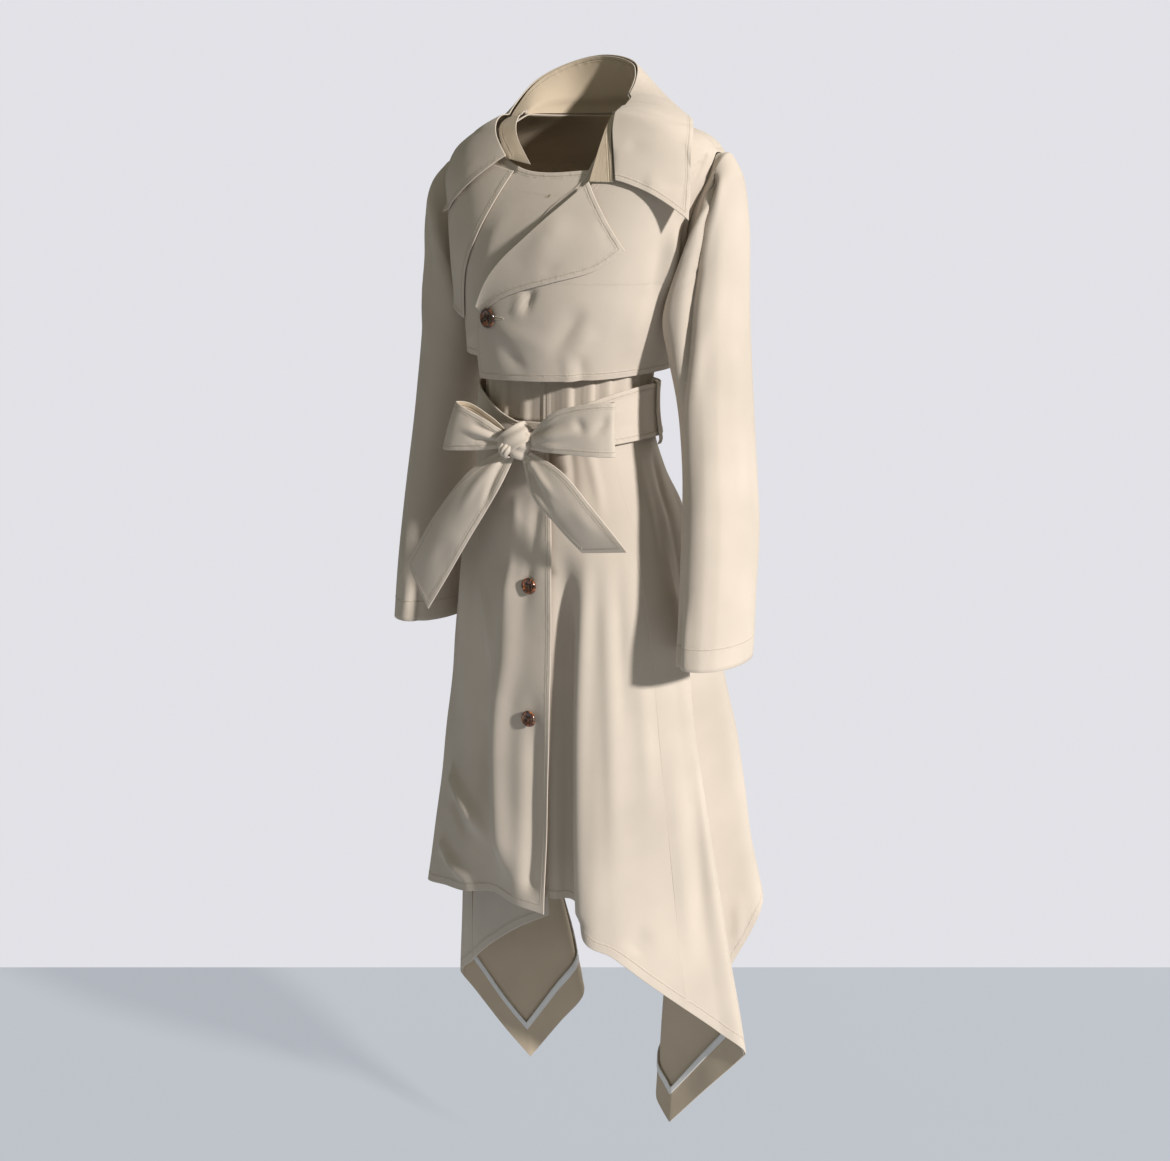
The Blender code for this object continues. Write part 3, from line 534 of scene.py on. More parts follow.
@dataclass
class ClothGrid:
    """Rows and columns of points that make one piece of cloth.

    Attributes:
        points: The inner surface, as rows, columns and coordinates.
        closed: Whether the last column joins the first, as on a sleeve.
        flipped: Whether the outside lies against the order of rows and columns.
    """

    points: Array
    closed: bool = False
    flipped: bool = False

    def wrapped(self) -> Array:
        """The points, with the first column once more at the end of a closed grid."""
        return np.concatenate([self.points, self.points[:, :1]], 1) if self.closed else self.points

    def normals(self) -> Array:
        """Outward directions: the cross product of the ways along the row and up the column."""
        points = self.points
        if self.closed:
            across = np.roll(points, -1, 1) - np.roll(points, 1, 1)
        else:
            across = np.gradient(points, axis=1)
        normal = unit(np.cross(across, np.gradient(points, axis=0)))
        return -normal if self.flipped else normal

    def moved(self, amount: Array) -> "ClothGrid":
        """The grid with its points moved along the normals."""
        return ClothGrid(self.points + self.normals() * amount[..., None], self.closed, self.flipped)

    def creased(self, creases: Sequence[Crease]) -> "ClothGrid":
        """The grid with every crease laid in it."""
        normals = self.normals()
        return self.moved(
            sum((each.relief(self.points, normals) for each in creases), np.zeros(self.points.shape[:-1]))
        )

    def rippled(self, reach: float, height: float, seed: int) -> "ClothGrid":
        """The grid with slow unevenness."""
        return self.moved(ripples(self.points, reach, height, seed))

    def edge(self, side: Edge) -> Array:
        """Points along one edge, back to the first on a closed row."""
        if side in (Edge.FIRST_ROW, Edge.LAST_ROW):
            return self.wrapped()[0 if side is Edge.FIRST_ROW else -1]
        return self.points[:, 0 if side is Edge.FIRST_COLUMN else -1]

    def measures(self) -> Array:
        """Lengths along the cloth for its weave: across each row, and down each column, from the middle."""
        points = self.wrapped()
        across = np.linalg.norm(np.diff(points, axis=1), axis=-1)
        across = np.concatenate([np.zeros((len(points), 1)), np.cumsum(across, 1)], 1)
        across = across - across[:, across.shape[1] // 2][:, None]
        down = np.linalg.norm(np.diff(points, axis=0), axis=-1)
        down = np.concatenate([np.zeros((1, points.shape[1])), np.cumsum(down, 0)], 0)
        return np.stack([across, down], -1)

    def seam_line(self, side: Edge, seams: dict[Edge, float], wall: float) -> tuple[Array, Array]:
        """Line on the outer surface at a set distance from one edge, kept clear of the other seams.

        Down each column, or along each row, it lies where the distance from the edge first reaches
        the inset.

        Args:
            side: The edge that it follows.
            seams: Distance of each sewn line from its edge.
            wall: Thickness of the cloth.

        Returns:
            Its points and outward directions.
        """
        inset = seams[side]
        normals = self.normals()
        outer = self.points + normals * wall
        gap = distance_to(self.points, self.edge(side))
        clear = np.ones(self.points.shape[:-1], bool)
        for other in seams:
            if other is not side:
                clear &= distance_to(self.points, self.edge(other)) > seams[other] * 0.98
        if side in (Edge.LAST_ROW, Edge.LAST_COLUMN):
            axis = 0 if side is Edge.LAST_ROW else 1
            gap, outer, normals, clear = (np.flip(each, axis) for each in (gap, outer, normals, clear))
        if side in (Edge.FIRST_COLUMN, Edge.LAST_COLUMN):
            gap, clear = gap.T, clear.T
            outer, normals = outer.transpose(1, 0, 2), normals.transpose(1, 0, 2)
        first = np.clip(np.argmax(gap >= inset, axis=0), 1, len(gap) - 1)
        column = np.arange(gap.shape[1])
        low, high = gap[first - 1, column], gap[first, column]
        part = np.clip((inset - low) / np.maximum(high - low, 1e-9), 0, 1)[:, None]
        line = outer[first - 1, column] * (1 - part) + outer[first, column] * part
        way = normals[first - 1, column] * (1 - part) + normals[first, column] * part
        keep = clear[first, column]
        return line[keep], unit(way[keep])


# --- meshes
def linked(name: str, data: bpy.types.ID) -> Item:
    """New object with its data, in the scene."""
    item = bpy.data.objects.new(name, data)
    bpy.context.scene.collection.objects.link(item)
    return item


def build_mesh(
    name: str, points: Array, faces: Array, slots: Array | None, materials: Sequence[Material],
) -> Item:
    """New smooth object from points and quads.

    Args:
        name: Its name.
        points: Its points.
        faces: Its quads.
        slots: Material number of each face, or None for the first.
        materials: Its materials.

    Returns:
        The object.
    """
    mesh = bpy.data.meshes.new(name)
    mesh.vertices.add(len(points))
    mesh.vertices.foreach_set("co", np.ascontiguousarray(points, np.float32).ravel())
    mesh.loops.add(faces.size)
    mesh.loops.foreach_set("vertex_index", np.ascontiguousarray(faces, np.int32).ravel())
    mesh.polygons.add(len(faces))
    mesh.polygons.foreach_set("loop_start", np.arange(0, faces.size, 4, dtype=np.int32))
    if slots is not None:
        mesh.polygons.foreach_set("material_index", np.ascontiguousarray(slots, np.int32))
    for material in materials:
        mesh.materials.append(material)
    mesh.update(calc_edges=True)
    mesh.validate()
    mesh.shade_smooth()
    return linked(name, mesh)


def sheet_mesh(
    name: str, grid: ClothGrid, wall: float, materials: Sequence[Material], seams: dict[Edge, float],
) -> Item:
    """Cloth with an outer and an inner face and a rounded rim between them.

    The outer face is the grid moved out by the wall. The rim's middle stands proud of the edge by a
    third of the wall, away from the cloth.

    Args:
        name: Name of the piece.
        grid: Its inner surface.
        wall: Thickness.
        materials: Outer and inner material.
        seams: Distance of each sewn line from its edge.

    Returns:
        The object, with its map in metres and its distances from sewn edges and lines.
    """
    inner = grid.points
    outer = inner + grid.normals() * wall
    rows, columns = inner.shape[:2]
    quads = grid_quads(rows, columns, grid.closed)
    place = grid.measures()
    corners = (place[:-1, :-1], place[:-1, 1:], place[1:, 1:], place[1:, :-1])
    places = np.stack(corners, -2).reshape(-1, 4, 2)
    number = np.arange(rows * columns).reshape(rows, columns)
    if grid.closed:
        loops = [np.append(number[0], number[0, 0]), np.append(number[-1], number[-1, 0])[::-1]]
    else:
        loops = [np.concatenate([number[0], number[1:, -1], number[-1, -2::-1], number[-2::-1, 0]])]
    away = edge_directions(inner, grid.closed).reshape(-1, 3)
    total = rows * columns
    rim_points, rim_faces = [], []
    start = 2 * total
    for loop in loops:
        ring = loop[:-1]
        middle = (inner.reshape(-1, 3)[ring] + outer.reshape(-1, 3)[ring]) / 2 + away[ring] * wall * 0.33
        rim_points.append(middle)
        here = start + np.arange(len(ring))
        there = start + (np.arange(len(ring)) + 1) % len(ring)
        behind, ahead = ring, np.roll(ring, -1)
        rim_faces.append(np.stack([total + ahead, total + behind, here, there], -1))
        rim_faces.append(np.stack([there, here, behind, ahead], -1))
        start += len(ring)
    points = np.concatenate([inner.reshape(-1, 3), outer.reshape(-1, 3), *rim_points])
    rim = np.concatenate(rim_faces)
    faces = np.concatenate([total + quads, quads[:, ::-1], rim])
    uv = np.concatenate([places, places[:, ::-1], np.zeros((len(rim), 4, 2))])
    if grid.flipped:
        faces, uv = faces[:, ::-1], uv[:, ::-1]
    slots = np.concatenate([np.zeros(len(quads)), np.ones(len(quads)), np.zeros(len(rim))])
    item = build_mesh(name, points, faces, slots if len(materials) > 1 else None, materials)
    layer = item.data.uv_layers.new(name="cloth")
    layer.data.foreach_set("uv", np.ascontiguousarray(uv, np.float32).ravel())
    edge_gap = np.full(inner.shape[:-1], UNSEWN)
    seam_gap = np.full(inner.shape[:-1], UNSEWN)
    for side, inset in seams.items():
        gap = distance_to(inner, grid.edge(side))
        edge_gap = np.minimum(edge_gap, gap)
        seam_gap = np.minimum(seam_gap, gap - inset)
    for label, gap in (("edge_gap", edge_gap.ravel()), ("seam_gap", seam_gap.ravel())):
        values = np.concatenate([gap, gap, *[gap[loop[:-1]] for loop in loops]])
        layer = item.data.attributes.new(label, "FLOAT", "POINT")
        layer.data.foreach_set("value", np.ascontiguousarray(values, np.float32))
    return item


def edge_directions(points: Array, closed: bool) -> Array:
    """Way out of the cloth, along itself, at each point of its edges; zero inside."""
    away = np.zeros_like(points)
    away[0] += unit(points[0] - points[1])
    away[-1] += unit(points[-1] - points[-2])
    if not closed:
        away[:, 0] += unit(points[:, 0] - points[:, 1])
        away[:, -1] += unit(points[:, -1] - points[:, -2])
    return away


# --- stitches
def resample(line: Array, ways: Array, pitch: float) -> tuple[Array, Array, Array]:
    """Evenly spaced places on a line.

    Args:
        line: Its points.
        ways: Its outward directions.
        pitch: Distance between places.

    Returns:
        The places, the directions along, and the outward directions.
    """
    steps = np.linalg.norm(np.diff(line, axis=0), axis=-1)
    reach = np.concatenate([[0], np.cumsum(steps)])
    count = max(int(reach[-1] / pitch), 1)
    at = (np.arange(count) + 0.5) * reach[-1] / count
    places = np.stack([np.interp(at, reach, line[:, axis]) for axis in range(3)], -1)
    outward = np.stack([np.interp(at, reach, ways[:, axis]) for axis in range(3)], -1)
    ahead = np.stack([np.interp(at + pitch / 4, reach, line[:, axis]) for axis in range(3)], -1)
    behind = np.stack([np.interp(at - pitch / 4, reach, line[:, axis]) for axis in range(3)], -1)
    along = unit(ahead - behind)
    outward = unit(outward - np.sum(outward * along, -1, keepdims=True) * along)
    return places, along, outward


def stitch_template() -> tuple[Array, Array]:
    """One stitch along x: a bar of five sides whose ends dip into the cloth.

    Returns:
        Points, as distance along, aside and outward, and the quads between them.
    """
    sides = 5
    half = STITCH_LENGTH / 2
    stations = np.array([-1.0, -0.55, 0.55, 1.0])
    thick = np.array([0.4, 1.0, 1.0, 0.4])[:, None] * THREAD_RADIUS
    turn = turns(sides)
    x = stations[:, None] * half + 0 * turn
    y = np.cos(turn) * thick
    z = np.sin(turn) * thick + THREAD_RADIUS * (0.55 - 1.1 * np.abs(stations[:, None]) ** 3)
    points = np.stack([x, y, z], -1).reshape(-1, 3)
    return points, grid_quads(len(stations), sides, True)[:, ::-1]


def laid(
    places: Array, along: Array, aside: Array, outward: Array, shape: Array, quads: Array,
) -> tuple[Array, Array]:
    """Copies of a shape at many places, each turned to its own three directions.

    Args:
        places: Where the copies stand.
        along: Direction of the shape's x at each place.
        aside: Direction of its y.
        outward: Direction of its z.
        shape: Its points.
        quads: Its quads.

    Returns:
        Points and quads of all the copies.
    """
    points = places[:, None] + along[:, None] * shape[None, :, :1] + aside[:, None] * shape[None, :, 1:2]
    points = points + outward[:, None] * shape[None, :, 2:]
    number = np.arange(len(places))[:, None, None] * len(shape)
    return points.reshape(-1, 3), (quads[None] + number).reshape(-1, 4)


def joined(parts: Sequence[tuple[Array, Array]]) -> tuple[Array, Array]:
    """Points and quads of one mesh from those of several."""
    starts = np.cumsum([0] + [len(points) for points, _ in parts])
    quads = [faces + start for (_, faces), start in zip(parts, starts)]
    return np.concatenate([points for points, _ in parts]), np.concatenate(quads)


def stitches(name: str, runs: Sequence[tuple[Array, Array]], material: Material) -> Item:
    """Rows of stitches along lines on the cloth, joined in one mesh.

    Each stitch is the template turned to the line: along, aside (their cross product) and outward.

    Args:
        name: Name of the piece.
        runs: Lines with their outward directions.
        material: The thread.

    Returns:
        The object.
    """
    parts = []
    for line, ways in runs:
        if len(line) >= 3:
            places, along, outward = resample(line, ways, STITCH_PITCH)
            parts.append(laid(places, along, np.cross(outward, along), outward, *stitch_template()))
    return build_mesh(name, *joined(parts), None, [material])


# --- finishes
class NodeTree:
    """Small helper that places and joins shader nodes."""

    def __init__(self, tree: Tree) -> None:
        """Keeps the tree."""
        self.tree = tree

    def feed(self, value: object, socket: Socket) -> None:
        """Joins a socket to an input, or sets the input's own value."""
        if isinstance(value, Socket):
            self.tree.links.new(value, socket)
        else:
            socket.default_value = value

    def fill(self, node: Node, **values: object) -> Node:
        """Gives a node its settings, or its inputs, whose spaces are written as underscores."""
        for key, value in values.items():
            if hasattr(node, key):
                setattr(node, key, value)
            else:
                self.feed(value, node.inputs[key.replace("_", " ")])
        return node

    def add(self, kind: str, **values: object) -> Node:
        """New node of a kind, with its settings and inputs."""
        return self.fill(self.tree.nodes.new(kind), **values)

    def first(self, kind: str, *given: object, **settings: object) -> Socket:
        """First output of a new node whose inputs are fed in order."""
        node = self.add(kind, **settings)
        for value, socket in zip(given, node.inputs):
            self.feed(value, socket)
        return node.outputs[0]

    def math(self, operation: str, one: object, other: object = 0.0) -> Socket:
        """Result of an arithmetic node."""
        return self.first("ShaderNodeMath", one, other, 0.0, operation=operation)

    def times(self, one: object, other: object) -> Socket:
        """Product of two numbers."""
        return self.math("MULTIPLY", one, other)

    def span(self, value: object, low: float, high: float, to_low: float, to_high: float) -> Socket:
        """Value mapped softly from one range to another."""
        return self.first(
            "ShaderNodeMapRange", value, low, high, to_low, to_high, interpolation_type="SMOOTHSTEP",
        )

    def blend(self, mask: object, one: object, other: object) -> Socket:
        """Colour between two by a mask."""
        node = self.add("ShaderNodeMix", data_type="RGBA")
        for value, number in ((mask, 0), (one, 6), (other, 7)):
            self.feed(value, node.inputs[number])
        return node.outputs[2]

    def noise(self, place: object, scale: float, detail: float, **values: object) -> Socket:
        """Fractal noise at a place."""
        return self.add("ShaderNodeTexNoise", Vector=place, Scale=scale, Detail=detail, **values).outputs[0]

    def bump(self, height: object, depth: float, strength: float, **values: object) -> Socket:
        """Normal tilted by a height."""
        return self.add(
            "ShaderNodeBump", Strength=strength, Distance=depth, Height=height, **values,
        ).outputs[0]

    def place(self) -> Socket:
        """The object's own coordinates."""
        return self.add("ShaderNodeTexCoord").outputs["Object"]

    def cloth(self) -> Socket:
        """Place along the cloth in metres."""
        return self.add("ShaderNodeUVMap", uv_map="cloth").outputs[0]

    def seam(self) -> Sequence[Socket]:
        """Outputs of the seam relief, fed by the piece's own distances."""
        edge, seam = (
            self.add("ShaderNodeAttribute", attribute_name=name).outputs["Fac"]
            for name in ("edge_gap", "seam_gap")
        )
        return self.add(
            "ShaderNodeGroup", node_tree=GROUPS["seam"], Edge=edge, Seam=seam, Place=self.place(),
        ).outputs


def new_group(
    name: str, inputs: dict[str, float | None], outputs: Sequence[str],
) -> tuple[NodeTree, Sequence[Socket], Node]:
    """Empty shader group with its sockets.

    Args:
        name: Its name.
        inputs: Usual value of each input, or None where it takes a place.
        outputs: Names of its number outputs.

    Returns:
        The group's tree, what comes in, and the node that its outputs are fed to.
    """
    tree = bpy.data.node_groups.new(name, "ShaderNodeTree")
    for label, usual in inputs.items():
        kind = "NodeSocketVector" if usual is None else "NodeSocketFloat"
        socket = tree.interface.new_socket(label, in_out="INPUT", socket_type=kind)
        if usual is not None:
            socket.default_value = usual
    for label in outputs:
        tree.interface.new_socket(label, in_out="OUTPUT", socket_type="NodeSocketFloat")
    kit = NodeTree(tree)
    return kit, kit.add("NodeGroupInput").outputs, kit.add("NodeGroupOutput")


def twill_group() -> Tree:
    """Twill weave from a place in metres.

    Steep ribs are a sine along a slanted direction. Each rib is broken by a second sine across it,
    as the threads pass over and under. The slub output is a stretched noise, for uneven yarn.
    """
    kit, given, out = new_group("twill_weave", {"Place": None, "Pitch": 0.0007}, ["Height", "Slub"])
    place, pitch = given["Place"], given["Pitch"]
    parts = kit.add("ShaderNodeSeparateXYZ", Vector=place).outputs
    slanted = kit.math("ADD", kit.times(parts[0], 0.87), kit.times(parts[1], 0.5))
    rib = kit.math("SINE", kit.math("DIVIDE", kit.times(slanted, FULL_TURN), pitch))
    pick = kit.math("SINE", kit.math("DIVIDE", kit.times(parts[1], 3.3 * math.pi), pitch))
    height = kit.math("ADD", kit.times(rib, 0.38), kit.times(pick, 0.12))
    stretched = kit.first("ShaderNodeVectorMath", place, (900.0, 60.0, 1.0), operation="MULTIPLY")
    slub = kit.noise(stretched, 1.0, 2.0, Roughness=0.6)
    kit.fill(out, Height=kit.math("ADD", height, 0.5), Slub=slub)
    return kit.tree


def seam_group() -> Tree:
    """Relief of a turned and topstitched edge.

    The turned layers swell between the edge and the sewn line, the line itself is a narrow dip, and
    a wandering noise beside it makes the pull of the thread. Two masks also go to the colour: the dip
    carries painted shade along the sewn line, and a band at the very edge is lighter, partly wear and
    partly a painted highlight.
    """
    kit, given, out = new_group(
        "seam_relief", {"Edge": 1.0, "Seam": 1.0, "Place": None}, ["Height", "Dip", "Rim"],
    )
    apart = kit.math("ABSOLUTE", given["Seam"])
    # The sewn line's groove: it sinks the relief and also masks painted shade along the line.
    dip = kit.span(apart, 0.0, 0.0013, 1.0, 0.0)
    swell = kit.span(given["Seam"], 0.0004, 0.0028, 1.0, 0.0)
    pull = kit.math("SUBTRACT", kit.noise(given["Place"], 150.0, 1.5, Roughness=0.5), 0.5)
    ruck = kit.times(kit.times(pull, kit.span(apart, 0.0, 0.0065, 1.0, 0.0)), 1.6)
    turned_edge = kit.math("SUBTRACT", kit.times(swell, 0.6), kit.times(dip, 0.8))
    # Edge band: its mask lightens the cloth at the very edge, partly wear and partly a painted highlight.
    rim = kit.span(given["Edge"], 0.0, 0.0012, 1.0, 0.0)
    kit.fill(out, Height=kit.math("ADD", turned_edge, ruck), Dip=dip, Rim=rim)
    return kit.tree


def mottle_group() -> Tree:
    """Slow and quick unevenness of dye and nap: two noises on the object's own coordinates."""
    kit, given, out = new_group("cloth_mottle", {"Place": None}, ["Slow", "Quick", "Ruck"])
    for label, scale, detail in (("Slow", 5.0, 3.0), ("Quick", 420.0, 2.0), ("Ruck", 38.0, 3.0)):
        kit.fill(out, **{label: kit.noise(given["Place"], scale, detail, Roughness=0.55)})
    return kit.tree


def new_material(name: str) -> tuple[Material, NodeTree, Node]:
    """New material, the helper for its nodes, and its shader."""
    material = bpy.data.materials.new(name)
    material.use_nodes = True
    return material, NodeTree(material.node_tree), material.node_tree.nodes["Principled BSDF"]


def toned(colour: Colour, factor: float = 1.0) -> tuple[float, ...]:
    """A colour made darker or lighter, with its alpha."""
    return (*(min(part * factor, 1.0) for part in colour), 1)


@dataclass(frozen=True)
class TwillFinish:
    """Matt cotton twill with a short nap.

    Attributes:
        name: Name of the material.
        colour: Its colour, as linear red, green and blue.
        sheen: Strength of the nap's sheen.
        relief: Depth of the weave in metres.
    """

    name: str
    colour: Colour
    sheen: float = 0.18
    relief: float = 0.0001

    def build(self) -> Material:
        """Makes the material."""
        material, kit, shader = new_material(self.name)
        weave = kit.add("ShaderNodeGroup", node_tree=GROUPS["twill"], Place=kit.cloth()).outputs
        mottle = kit.add("ShaderNodeGroup", node_tree=GROUPS["mottle"], Place=kit.place()).outputs
        seam = kit.seam()
        light, deep = toned(self.colour, 1.06), toned(self.colour, 0.8)
        tone = kit.blend(kit.span(mottle["Slow"], 0.3, 0.7, 0.0, 1.0), toned(self.colour, 0.9), light)
        grain = kit.math("ADD", kit.times(weave["Height"], 0.35), kit.times(weave["Slub"], 0.65))
        tone = kit.blend(kit.span(grain, 0.2, 0.8, 0.16, 0.0), tone, deep)
        # Painted shade: darker along the sewn line's groove.
        tone = kit.blend(kit.times(seam["Dip"], 0.3), tone, deep)
        # Lighter band at the very edge: partly wear, partly a painted highlight on the rim.
        tone = kit.blend(kit.times(seam["Rim"], 0.25), tone, light)
        normal = kit.bump(weave["Height"], self.relief, 1.0)
        normal = kit.bump(mottle["Ruck"], 0.0004, 0.5, Normal=normal)
        normal = kit.bump(seam["Height"], 0.0006, 1.0, Normal=normal)
        kit.fill(
            shader, Base_Color=tone, Roughness=kit.span(mottle["Quick"], 0.2, 0.8, 0.8, 0.94),
            Normal=normal, Specular_IOR_Level=0.22, Sheen_Weight=self.sheen, Sheen_Roughness=0.45,
            Sheen_Tint=(1.0, 0.97, 0.92, 1.0),
        )
        return material


@dataclass(frozen=True)
class TapeFinish:
    """White woven binding tape with fine crosswise ribs."""

    name: str
    colour: Colour

    def build(self) -> Material:
        """Makes the material."""
        material, kit, shader = new_material(self.name)
        parts = kit.add("ShaderNodeSeparateXYZ", Vector=kit.cloth()).outputs
        rib = kit.math("SINE", kit.times(parts[0], FULL_TURN / 0.0009))
        seam = kit.seam()
        dark = toned(self.colour, 0.82)
        tone = kit.blend(kit.span(rib, -1.0, 1.0, 0.35, 0.0), toned(self.colour), dark)
        # Painted shade: darker along the sewn line's groove.
        tone = kit.blend(kit.times(seam["Dip"], 0.4), tone, dark)
        normal = kit.bump(kit.math("ADD", rib, seam["Height"]), 0.00008, 1.0)
        kit.fill(
            shader, Base_Color=tone, Roughness=kit.span(rib, -1.0, 1.0, 0.6, 0.72), Normal=normal,
            Sheen_Weight=0.1,
        )
        return material


@dataclass(frozen=True)
class ThreadFinish:
    """Twisted sewing thread with a slight lustre."""

    name: str
    colour: Colour

    def build(self) -> Material:
        """Makes the material."""
        material, kit, shader = new_material(self.name)
        tone = kit.blend(kit.noise(kit.place(), 2500.0, 2.0), toned(self.colour, 0.78), toned(self.colour))
        kit.fill(shader, Base_Color=tone, Roughness=0.55, Sheen_Weight=0.15)
        return material


@dataclass(frozen=True)
class TortoiseshellFinish:
    """Polished horn in amber and dark brown: a warped noise picks blots of the darker colour."""

    name: str
    amber: Colour
    brown: Colour
    pale: Colour

    def build(self) -> Material:
        """Makes the material."""
        material, kit, shader = new_material(self.name)
        blots = kit.noise(kit.place(), 130.0, 3.0, Distortion=1.4)
        streaks = kit.noise(kit.place(), 330.0, 2.0, Distortion=0.6)
        tone = kit.blend(kit.span(blots, 0.46, 0.6, 0.0, 1.0), toned(self.brown), toned(self.amber))
        tone = kit.blend(kit.span(streaks, 0.62, 0.74, 0.0, 0.55), tone, toned(self.pale))
        gloss = kit.span(streaks, 0.3, 0.7, 0.16, 0.28)
        kit.fill(shader, Base_Color=tone, Roughness=gloss, Coat_Weight=0.6, Coat_Roughness=0.12)
        return material


TWILL_COLOUR = (0.6, 0.527, 0.45)
# Wrong side of the cloth: its warmer tone is painted light, standing for sunlight shining through the
# cloth.
INSIDE_THROUGH_LIT_COLOUR = (0.57, 0.47, 0.35)
GROUPS = {"twill": twill_group(), "seam": seam_group(), "mottle": mottle_group()}
TWILL = TwillFinish("beige_twill", TWILL_COLOUR).build()
TWILL_INSIDE_THROUGH_LIT = TwillFinish("beige_twill_wrong_side_painted_through_light", INSIDE_THROUGH_LIT_COLOUR, sheen=0.1).build()
TAPE = TapeFinish("white_binding_tape", (0.86, 0.85, 0.84)).build()
THREAD = ThreadFinish("beige_thread", (0.66, 0.57, 0.44)).build()
WHITE_THREAD = ThreadFinish("white_thread", (0.8, 0.79, 0.77)).build()
BROWN_THREAD = ThreadFinish("brown_thread", (0.1, 0.055, 0.03)).build()
SHELL = TortoiseshellFinish(
    "tortoiseshell", (0.25, 0.075, 0.024), (0.035, 0.014, 0.009), (0.55, 0.33, 0.17),
).build()


# --- placing pieces
class Hold(Enum):
    """How a sheet of cloth is held."""

    HUNG = "hung"
    GATHERED = "gathered"
    FOLDED = "folded"
    STRETCHED = "stretched"
    DRAPED = "draped"


def put_on(item: Item) -> None:
    """Fixes a piece to the coat and logs it."""
    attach(item, "root")
    LOG.info("%s: %d faces", item.name, len(item.data.polygons))


def grid_area(grid: ClothGrid) -> float:
    """Area of a grid: half the length of the cross product of each quad's diagonals, added up."""
    points = grid.wrapped()
    one = points[1:, 1:] - points[:-1, :-1]
    other = points[1:, :-1] - points[:-1, 1:]
    return float(np.linalg.norm(np.cross(one, other), axis=-1).sum() / 2)


@dataclass
class ClothPiece:
    """One cut and sewn piece of cloth.

    Attributes:
        node: The frame's node that it stands for.
        flat: Width and length of the cloth that it is cut from; not used.
        rests_on: Nodes that carry it; not used.
        seams: Distance of each topstitched line from its edge.
        area: Area of the cut where it isn't a rectangle; not used.
    """

    node: str
    grid: ClothGrid
    flat: tuple[float, float]
    held: Hold
    rests_on: Sequence[str]
    seams: dict[Edge, float] = field(default_factory=dict)
    wall: float = CLOTH
    area: float | None = None
    outside: Material = TWILL
    inside: Material = TWILL_INSIDE_THROUGH_LIT
    thread: Material = THREAD

    def build(self) -> None:
        """Makes the cloth and its stitches, hides the frame's own piece, and logs its area."""
        item = sheet_mesh(
            self.node + "_cloth", self.grid, self.wall, (self.outside, self.inside), self.seams,
        )
        put_on(item)
        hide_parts(self.node)
        sewing = []
        if self.seams:
            runs = [self.grid.seam_line(side, self.seams, self.wall) for side in self.seams]
            sewing.append(stitches(self.node + "_stitches", runs, self.thread))
            put_on(sewing[0])
        LOG.info("%s: %.4f square metres", item.name, grid_area(self.grid))


# --- jacket
def armhole(side: int) -> tuple[float, float]:
    """Middle and half of the height of a side's armhole."""
    return (ARMHOLE_TOP[side] + ARMHOLE_BOTTOM) / 2, (ARMHOLE_TOP[side] - ARMHOLE_BOTTOM) / 2


def armhole_opening(height: Array, reach: float, side: int) -> Array:
    """Angle by which a side's armhole bites into a panel at a height: an oval between its two ends."""
    centre, half = armhole(side)
    return reach * np.sqrt(np.clip(1 - ((height - centre) / half) ** 2, 0, 1))


def clear_of_jacket(points: Array, gap: Array | float) -> Array:
    """Points moved out along the jacket's slope until they stand off its surface by the gap.

    A point is beyond the jacket by the roundness root of its two powered shares less 1. That over its
    slope is the distance.

    Args:
        points: Grid of points.
        gap: Distance wanted from the ring.

    Returns:
        The moved points.
    """

    def beyond(place: Array) -> tuple[Array, Array]:
        """How far out a place is, and its angle round the jacket."""
        x, y, height = np.moveaxis(place, -1, 0)
        across = np.abs(x / TORSO.sided(height, x, "left", "right")) ** ROUNDNESS
        fore = np.abs(y / TORSO.sided(height, -y, "front", "back")) ** ROUNDNESS
        angle = np.arctan2(np.sign(x) * np.sqrt(across), -np.sign(y) * np.sqrt(fore))
        return (across + fore) ** (1 / ROUNDNESS) - 1, angle

    step, fade, longest, rounds = 0.0005, 0.02, 0.01, 8
    for _ in range(rounds):
        value, angle = beyond(points)
        slope = [beyond(points + step * axis)[0] - beyond(points - step * axis)[0] for axis in np.eye(3)]
        slope = np.stack(slope, -1) / (2 * step)
        steepness = np.linalg.norm(slope, axis=-1)
        wanted = gap + np.where(points[..., 0] >= 0, front_lift(np.abs(angle)), 0)
        below_neck = ease((NECK_HEIGHT + fade - points[..., 2]) / fade)
        short = np.clip(wanted - value / steepness, 0, longest) * below_neck
        points = points + slope / steepness[..., None] * short[..., None]
    return points


def chest_strip(
    table: Table, near: str, far: str, rows: int, columns: int, lift: Callable[[Array, Array], Array],
) -> Array:
    """Piece lying on the chest between two edges of a table.

    Args:
        table: The x and z of both edges along the piece.
        near: Name of the first edge.
        far: Name of the last edge.
        rows: Steps along.
        columns: Steps across.
        lift: Height off the jacket for a share across and along.

    Returns:
        Its inner surface.
    """
    along = spread(rows)[:, None]
    share = spread(columns, 0.006)[None, :]
    near_x, near_z = table.at(along, near + "_x"), table.at(along, near + "_z")
    far_x, far_z = table.at(along, far + "_x"), table.at(along, far + "_z")
    x = near_x + (far_x - near_x) * share
    height = near_z + (far_z - near_z) * share
    return on_chest(x, height, lift(share, along))


